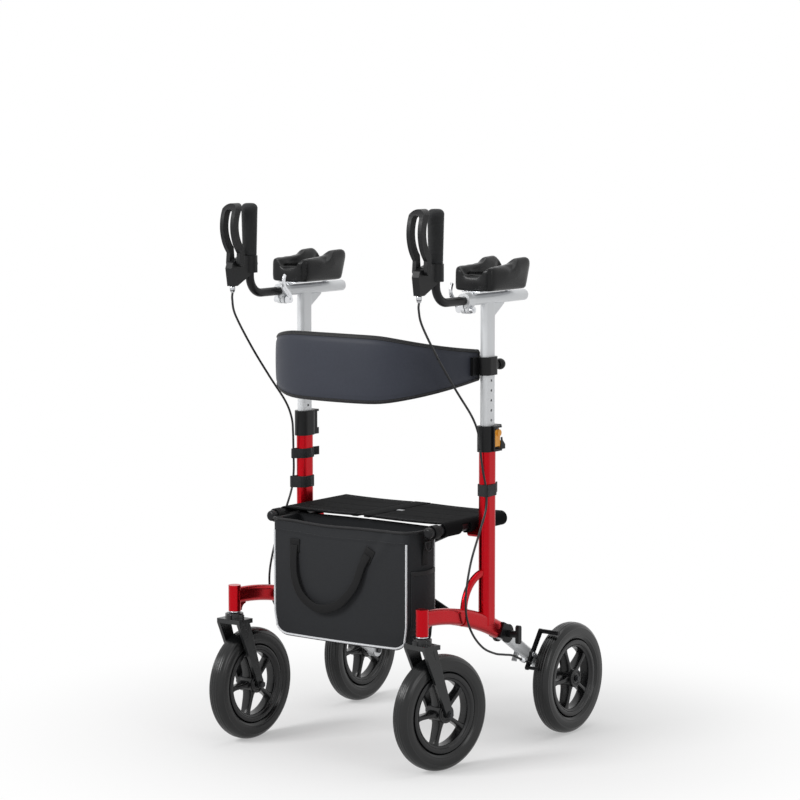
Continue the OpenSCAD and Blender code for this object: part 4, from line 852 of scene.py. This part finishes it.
def bag_shell():
    around = [i / 200 for i in range(200)]
    edge = [bag_point(u, 0.0) / MM for u in around]
    middle = UY + BAG_Y
    rows = []
    for q in (0.0, 0.25, 0.5, 0.72, 0.88, 0.96):
        lift = 3 * (q > 0.9) - 3 * (1 - q * q) - 1.0
        rows.append([Vector((p.x * q, (p.y - middle) * q + middle, p.z + lift)) * MM for p in edge])
    heights = [0.0, 0.01, 0.03, 0.06] + list(np.linspace(0.1, 0.87, 32))
    heights += [0.884, 0.8935, 0.91, 0.94, 0.97, 0.985, 1.0]
    rows += [[bag_point(u, v) for u in around] for v in heights]
    return thicken(loft("bag_shell", rows, WEAVE, caps=False), 2.6, -1.0)


def bag_add(piece):
    bag_pieces.append(piece)
    return piece


def bag_piping(name, path, radius):
    bag_add(tube(f"bag_piping_{name}", path, radius, PIPING))


def bag():
    left, right = bag_u(FRONT_LEFT, 0.25), bag_u(FRONT_RIGHT, 0.75)

    def up_wall(u, low, high, out):
        return [bag_point(u, v, out) for v in np.linspace(low, high, 40)]

    def along_front(count, v, out):
        return [bag_point(right + (1 + left - right) * i / count, v, out) for i in range(count + 1)]
    shell = bag_add(bag_shell())
    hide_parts("bag")
    rim = [bag_point(i / 160, 0.992, 0.6) for i in range(160)]
    bag_add(tube("bag_rim_hem", rim + [rim[0]], 3.0, BINDING, sides=10, closed=True))
    bag_piping("left", up_wall(left, BAG_PIPE, BAG_HEM, 1.2), 2.3)
    bag_piping("right", up_wall(right, BAG_PIPE, BAG_HEM, 1.2), 2.3)
    bag_piping("bottom", along_front(90, BAG_PIPE, 1.2), 2.3)
    bag_piping("rear_left", up_wall(bag_u(REAR_LEFT, 0.5), 0.05, 0.9, 1.0), 2.0)
    bag_piping("rear_right", up_wall(bag_u(REAR_RIGHT, 0.5), 0.05, 0.9, 1.0), 2.0)
    bag_add(stitches("bag_front_stitch", along_front(120, BAG_HEM + 0.02, 0.4)))


bag()

HANDLE = [(-121.5, 456), (-121.6, 424), (-115.6, 384), (-94, 346), (-49.5, 323), (5, 335), (49, 378),
          (68.5, 427), (81, 452)]


def front_point(x, z, out, aside=0.0):
    """A point before the bag's front at x and z, moved aside."""
    edge = BAG_TURN + BAG_IN
    u = bag_u(FRONT, (x + aside + BAG_W / 2 - edge) / (BAG_W - 2 * edge))
    return bag_point(u, (z - BAG_FLOOR) / (rim_z(x, BAG_FRONT) - BAG_FLOOR), out)


def bag_handle():
    last = len(HANDLE) - 1
    line = [front_point(x, z, 3.5 + 8 * sin(pi * i / last)) for i, (x, z) in enumerate(HANDLE)]
    path = spline(line, 8)
    across = [d.cross(-BEHIND).normalized() for d in tangents(path)]
    bag_add(ribbon("bag_handle", path, across, 19, 3.4, WEBBING))
    for name, (x, z), lean in (("a", HANDLE[0], 0.0), ("b", HANDLE[-1], 0.5)):
        path = [front_point(x, z + q, 1.8, lean * q) for q in np.linspace(-16, 14, 8)]
        bag_add(ribbon(f"bag_handle_patch_{name}", path, Vector((1, 0, -lean)), 27, 2.6, WEBBING))


bag_handle()

POCKET_TOP, POCKET_FULL = 0.60, 4.5
STRAP_Y, STRAP_W, STRAP_T = -150, 22, 2.2
STRAP_DROP = [(-14, -4), (-17, -20), (-22, -44), (-24.5, -74)]
D_RING = [(-11, 9), (11, 9), (12.5, 6), (12.5, 0), (9, -8), (0, -12), (-9, -8), (-12.5, 0),
          (-12.5, 6), (-11, 9)]


def bag_side(side, s):
    """A side pocket, the strap that hangs the bag from its loop on the rail, and the strap's ring."""
    part = LEFT if s > 0 else RIGHT
    rows = []
    for v in np.linspace(0.06, POCKET_TOP, 18):
        full = POCKET_FULL * smoothstep(v / 0.5)
        rows.append([bag_point(bag_u(part, q), v, 2.4 + full * sin(pi * q))
                     for q in np.linspace(-0.05, 1.05, 20)])
    bag_add(thicken(loft(f"bag_pocket_{side}", rows, WEAVE, closed=False), 1.6))
    hem = [bag_point(bag_u(part, q), POCKET_TOP, 3.0 + POCKET_FULL * sin(pi * q))
           for q in np.linspace(-0.05, 1.05, 30)]
    bag_add(ribbon(f"bag_pocket_hem_{side}", hem, UP, 10, 2.4, BINDING))
    r = RAIL_R + STRAP_T
    round_rail = [mid(s * (RAIL_X + r * sin(a)), STRAP_Y, RAIL_Z + r * cos(a))
                  for a in (radians(v) for v in range(-200, 161, 12))]
    loop = ribbon(f"bag_hang_loop_{side}", round_rail, BEHIND, STRAP_W, STRAP_T, WEBBING)
    dress(loop, "brace_b" if s > 0 else "brace_a")
    drop = spline([mid(s * (RAIL_X + x), STRAP_Y, RAIL_Z + z) for x, z in STRAP_DROP], 8)
    bag_add(ribbon(f"bag_hang_strap_{side}", drop, BEHIND, STRAP_W, STRAP_T, WEBBING))
    centre = mid(s * (RAIL_X - 16), STRAP_Y - 2, RAIL_Z - 30)
    ring = spline([centre + Vector((s * 4, y, z)) * MM for y, z in D_RING], 5)
    bag_add(tube(f"bag_d_ring_{side}", ring, 1.7, POWDER, sides=10, closed=True))


each_side(bag_side)
folding(bag_pieces, "bag")

# Hand grips: foam with fine ribs and a rounded top
GRIP_Y, GRIP_TOP, GRIP_LEN, GRIP_ROUND = -198.0, 1212.0, 116.0, 12
RIB_PITCH, RIB_H, RIB_STEP = 2.6, 0.35, 0.34


def hand_grip(side, s):
    straight = GRIP_LEN - GRIP_ROUND
    profile = [(10.2, 0.0), (15.0, 0.0), (15.9, 0.8)]
    heights = [0.8 + RIB_STEP * i for i in range(1, 300)]
    profile += [(16 + 2.5 * z / straight - RIB_H + RIB_H * sin(2 * pi * z / RIB_PITCH), z) for z in heights]
    turns = [pi / 2 * i / 10 for i in range(1, 11)]
    profile += [(6.5 + GRIP_ROUND * cos(a), straight + GRIP_ROUND * sin(a)) for a in turns]
    profile += [(3.5, GRIP_LEN - 0.1), (0.02, GRIP_LEN - 0.6)]
    rings = [[at(s, r * cos(a), GRIP_Y + r * sin(a), GRIP_TOP - GRIP_LEN + z) for a in circle(48)]
             for r, z in profile]
    grip = loft(f"hand_grip_{side}_foam", rings, FOAM)
    dress(grip, f"handle_{side}", f"hand_grip_{side}")


each_side(hand_grip)

# Hook-and-loop bands that hold the cables to the uprights
BAND_R, BAND_FLAT, BAND_CABLE_R = 14.6, 9.5, 4.0


def hull(points):
    points = sorted(set(points))

    def half(order):
        line = []
        for p in order:
            while len(line) > 1 and ((line[-1][0] - line[-2][0]) * (p[1] - line[-2][1])
                                     - (line[-1][1] - line[-2][1]) * (p[0] - line[-2][0])) <= 0:
                line.pop()
            line.append(p)
        return line[:-1]
    return half(points) + half(points[::-1])


def cable_place(z):
    """The cable's x and y beside the upright, at a height."""
    xs, ys, heights = np.array(CABLE[:5:-1]).T
    return np.interp(z, heights, xs), np.interp(z, heights, ys)


def oblong(r, a):
    return r * cos(a), r * sin(a) + copysign(BAND_FLAT, sin(a))


def band(side, z, height, tab_turn=None):
    """A band round the upright and its cable, with a loose tab where a turn is given for it."""
    s = SIDES[side]
    cx, cy = cable_place(z)
    points = [oblong(BAND_R, a) for a in circle(64)]
    points += [(cx + BAND_CABLE_R * cos(a), cy + BAND_CABLE_R * sin(a)) for a in circle(64)]
    path = [at(s, x, y, z) for x, y in hull([(round(x, 3), round(y, 3)) for x, y in points])]
    loop = ribbon(f"cable_band_{side}_{z}", spline(path + [path[0]], 2), UP, height, 2.0, FUZZ)
    dress(loop, f"frame_{side}")
    if tab_turn is None:
        return
    a = radians(tab_turn)
    start = Vector(oblong(BAND_R + 0.2, a))
    out, away = (Vector((cos(w), sin(w))) for w in (a, a + 1.2))
    tab = [start] + [start + away * q + out * (1.5 + 0.02 * q * q) for q in (6, 12, 18, 24)]
    path = spline([at(s, p.x, p.y, z) for p in tab], 4)
    flap = ribbon(f"cable_band_tab_{side}_{z}", path, UP, height * 0.9, 1.8, FUZZ)
    dress(flap, f"frame_{side}")


band("left", 588, 26, 70)
band("right", 632, 22, 60)
band("right", 566, 26)

# Small hardware: profiles list radius and height along the axis
BOLT_HEAD = [(1, 0.0), (1, 0.72), (0.88, 1), (0.45, 1), (0.38, 0.5)]
ADJUSTER = [(3.0, 0), (4.8, 0.3), (4.8, 4.6), (6.0, 5.2), (6.0, 12.8), (5.2, 13.6), (3.0, 13.8)]
BEARING = [(9.3, 0), (13.4, 0.2), (13.8, 1.2), (13.8, 2.8), (12.6, 4.2), (9.3, 4.4)]
CABLE_NUT = [(2.8, -6), (4.6, -5.6), (4.6, 1.0), (5.4, 1.4), (5.4, 7.0), (4.2, 7.6), (2.8, 7.8)]


def lathe(name, base, axis, profile, body, sides=28, ridge=0.0):
    """A turned steel piece; ridge knurls its radius."""
    axis = axis.normalized()
    u = axis.orthogonal().normalized()
    v = axis.cross(u)
    rings = [[base + (axis * h + swing(u, v, a) * (r - ridge * (k % 2))) * MM
              for k, a in enumerate(circle(sides))] for r, h in profile]
    return dress(loft(name, rings, STEEL), body)


def bolt(name, place, axis, radius, height, body):
    head = lathe(name, place, axis, [(radius * r, height * h) for r, h in BOLT_HEAD], body, sides=6)
    head.data.polygons.foreach_set("use_smooth", [False] * len(head.data.polygons))


def hardware(side, s):
    for k, y in enumerate((-52, 78)):
        bolt(f"pad_bolt_{side}_{k}", at(s, 0, y, 1022.5), -UP, 5.0, 3.0, f"upper_{side}")
    bolt(f"brake_nut_{side}", at(s, 16.5, 163.6, 194.6), ACROSS * s, 6.0, 2.2, f"leg_{side}")
    lathe(f"cable_adjuster_{side}", at(s, 0, -259, 1016.6), UP, ADJUSTER, f"handle_{side}", 36, 0.35)
    lathe(f"head_bearing_{side}", at(s, 4.5, -253, 300.3), -UP, BEARING, f"frame_{side}")
    low, high = at(s, *CABLE[-2]), at(s, *CABLE[-1])
    lathe(f"cable_nut_{side}", low, high - low, CABLE_NUT, f"leg_{side}", sides=18)


each_side(hardware)

# Cam levers: a long chrome lever over the short bar of each cam, as y and z from the cam's axis
CAM_AXIS_Z, CAM_HALF, CAM_BAR, CAM_W = 990.0, 6.0, 4.0, 9.8
CAM_LEVER = [(0, 2), (-2, 8), (-8, 16), (-17, 25), (-24, 33), (-26.5, 41), (-25, 50), (-21, 58)]


def cam_lever(side, s):
    low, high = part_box(f"clamp_lever_{side}")
    inner = (low[0] if s > 0 else high[0]) / MM + s * CAM_BAR / 2
    centre = Vector((inner, high[1] / MM - CAM_HALF, CAM_AXIS_Z))
    path = spline([(centre + Vector((0, y, z))) * MM for y, z in CAM_LEVER], 4)
    across = [d.cross(ACROSS) for d in tangents(path)]
    lever = soften(ribbon(f"cam_lever_{side}", path, across, CAM_W, CAM_BAR + 1.2, CHROME), 0.8)
    dress(lever, f"cam_{side}")


each_side(cam_lever)

# Wheels: tyres with a ribbed tread and sidewall rings, rims with bladed spokes and a stepped hub
WHEEL_R, RIM_R, TYRE_HALF, TYRE_SQUARE = 127.0, 88.0, 21.0, 0.78
GROOVES, GROOVE_W, GROOVE_DEEP, TREAD_DEEP = (-9.5, -3.2, 3.2, 9.5), 0.9, 1.6, 6
WALL_RINGS, WALL_RING_W, WALL_RING_H = (96.0, 115.0), 1.1, 0.8
RIM_PROFILE = [(87.9, 15.2), (87.6, 16.6), (86.6, 17.3), (84.5, 17.5), (79.8, 17.5), (78.2, 17.0),
               (77.2, 15.6), (76.6, 13.6), (73.2, 12.9), (71.8, 12.0), (71.2, 9.0), (71.0, 4.0)]
HUB_PROFILE = [(20.0, 4.0), (20.4, 14.0), (20.8, 21.0), (20.0, 22.6), (17.6, 22.9), (16.6, 22.2),
               (16.0, 20.6), (13.6, 20.4), (13.0, 22.0), (10.5, 22.4), (6.2, 22.4), (5.6, 20.0)]
SPOKES, SPOKE_TURN, SPOKE_HALF, SPOKE_DEEP, SPOKE_THIN = 5, 39.0, 4.6, 14.5, 3.5
SPOKE_RADII = [17.0, 21.5, 26.0, 34.0, 46.0, 58.0, 65.0, 69.5, 73.5]
SPOKE_EDGE = [(1, 0.72), (0.8, 0.93), (0.45, 1)]


def turned_ring(name, place, profile, material):
    """Sweeps a closed profile of radius and offset along the axle round a wheel's centre."""
    centre, axle, ahead, up = place
    rings = []
    for k in range(97):
        out = swing(ahead, up, 2 * pi * k / 96)
        rings.append([centre + (out * r + axle * x) * MM for r, x in profile])
    return loft(name, rings, material, caps=False)


def tyre_profile():
    mean, tall = (WHEEL_R + RIM_R) / 2 - 1.0, (WHEEL_R - RIM_R) / 2 + 1.0
    profile = []
    for k in range(-76, 77):
        a = radians(2.1 * k)
        x = TYRE_HALF * copysign(abs(sin(a)) ** TYRE_SQUARE, a)
        r = mean + tall * copysign(abs(cos(a)) ** TYRE_SQUARE, cos(a))
        groove = max(bell(x - g, GROOVE_W) for g in GROOVES) if r > WHEEL_R - TREAD_DEEP else 0.0
        ridge = max(bell(r - g, WALL_RING_W) for g in WALL_RINGS)
        profile.append((max(r - GROOVE_DEEP * groove, RIM_R), x + copysign(WALL_RING_H * ridge, x)))
    return profile


def spoke_blades(name, place):
    centre, axle, ahead, up = place
    first, last = SPOKE_RADII[0], SPOKE_RADII[-1]
    top = SPOKE_EDGE + [(-u, v) for u, v in SPOKE_EDGE[::-1]]
    outline = top + [(u, -v) for u, v in top[::-1]]
    points, faces = [], []
    for a in circle(SPOKES):
        out = swing(ahead, up, a + radians(SPOKE_TURN))
        across = axle.cross(out)
        faces += capped_faces(len(SPOKE_RADII), len(outline), len(points))
        for r in SPOKE_RADII:
            half = SPOKE_HALF + 4.0 * bell(r - first, 8.0) + 3.5 * bell(r - last, 7.0)
            deep = SPOKE_DEEP - SPOKE_THIN * (r - first) / (last - first)
            points += [centre + (out * r + across * half * u + axle * deep * v) * MM for u, v in outline]
    return make(name, points, faces, RIM)


def wheel(end, side):
    low, high = (Vector(v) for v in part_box(f"{end}_tyre_{side}"))
    joint = next(j for j in frame["record"]["behaviour"]["joints"] if j["name"] == f"{end}_spin_{side}")
    axle = Vector(joint["axis"]).normalized()
    place = ((low + high) / 2, axle, UP.cross(axle), UP)
    body, rim = f"{end}_wheel_{side}", f"{end}_rim_{side}"
    tyre = turned_ring(f"{end}_tyre_{side}_tread", place, tyre_profile(), RUBBER)
    dress(tyre, body, f"{end}_tyre_{side}")
    for name, face in (("ring", RIM_PROFILE), ("hub", HUB_PROFILE)):
        profile = face + [(r, -x) for r, x in face[::-1]]
        dress(turned_ring(f"{rim}_{name}", place, profile, RIM), body, rim)
    dress(soften(spoke_blades(f"{rim}_spokes", place), 0.8), body, rim)


for wheel_side in SIDES:
    wheel("front", wheel_side)
    wheel("rear", wheel_side)

# Height latches: a yellow lever whose cheek lies on the collar's outer face, between two black guards
COLLAR_FOOT, COLLAR_TOP, LATCH_Y, LATCH_Z, EYE_R = 673.0, 730.0, 32.5, 683.0, 4.3
LATCH_EDGE = 0.7


def plates(name, s, parts, material):
    """Closed plates in one piece: each is an outline of y and z, drawn between two distances outboard."""
    points, faces = [], []
    for outline, near, far in parts:
        faces += capped_faces(2, len(outline), len(points))
        points += [at(s, x, y, z) for x in (near, far) for y, z in outline]
    return soften(make(name, points, faces, material, smooth=False), LATCH_EDGE)


def arc(y, z, r, first, last, count):
    turns = [radians(first + (last - first) * k / count) for k in range(count + 1)]
    return [(y + r * cos(a), z + r * sin(a)) for a in turns]


def latch(side, s):
    ahead, behind, foot, top = LATCH_Y - EYE_R, LATCH_Y + EYE_R, COLLAR_FOOT, COLLAR_TOP
    eye = arc(LATCH_Y, LATCH_Z, EYE_R, 180, 360, 10)
    web = eye + [(behind, top - 14), (LATCH_Y + 2, top - 8), (ahead, top - 8)]
    link = eye + [(behind, LATCH_Z + 7), (ahead, LATCH_Z + 9)]
    arm = eye + [(behind, LATCH_Z + 4), (LATCH_Y - 6, LATCH_Z + 13), (19, LATCH_Z + 14), (19, LATCH_Z + 2)]
    cheek = [(0, LATCH_Z + 1), (19, LATCH_Z + 1), (19.5, top - 22)] + arc(18, top - 15, 6, -60, 75, 8)
    cheek += [(6, top - 8.2), (1.5, top - 9.5), (0, top - 13)]
    thumb = arc(12, top - 16, 7, 0, 345, 23)
    parts = [(web, -7.6, 7.6), (link, 7.0, 20.8), (arm, 17.5, 20.8), (cheek, 17.5, 21.2), (thumb, 20.5, 25.5)]
    lever = plates(f"height_latch_{side}_lever", s, parts, YELLOW)
    dress(lever, f"latch_{side}", f"height_latch_{side}")
    upper = [(-6, top - 0.6), (24, top - 0.6), (25, top - 5), (-6, top - 5)]
    lower = [(-6, foot + 0.6), (26, foot + 0.6), (26, foot + 6), (-6, foot + 6)]
    front = [(-6, foot + 5), (-2, foot + 5), (-2, top - 4), (-6, top - 4)]
    rear = [(19.8, foot + 4), (37, foot + 4), (37, LATCH_Z + 4), (27, LATCH_Z + 14), (26, 704), (19.8, 704)]
    parts = [(upper, 10.0, 22.5), (lower, 10.0, 22.5), (front, 15.5, 22.0), (rear, 21.6, 23.2)]
    dress(plates(f"latch_guard_{side}", s, parts, PLASTIC), f"frame_{side}")


each_side(latch)
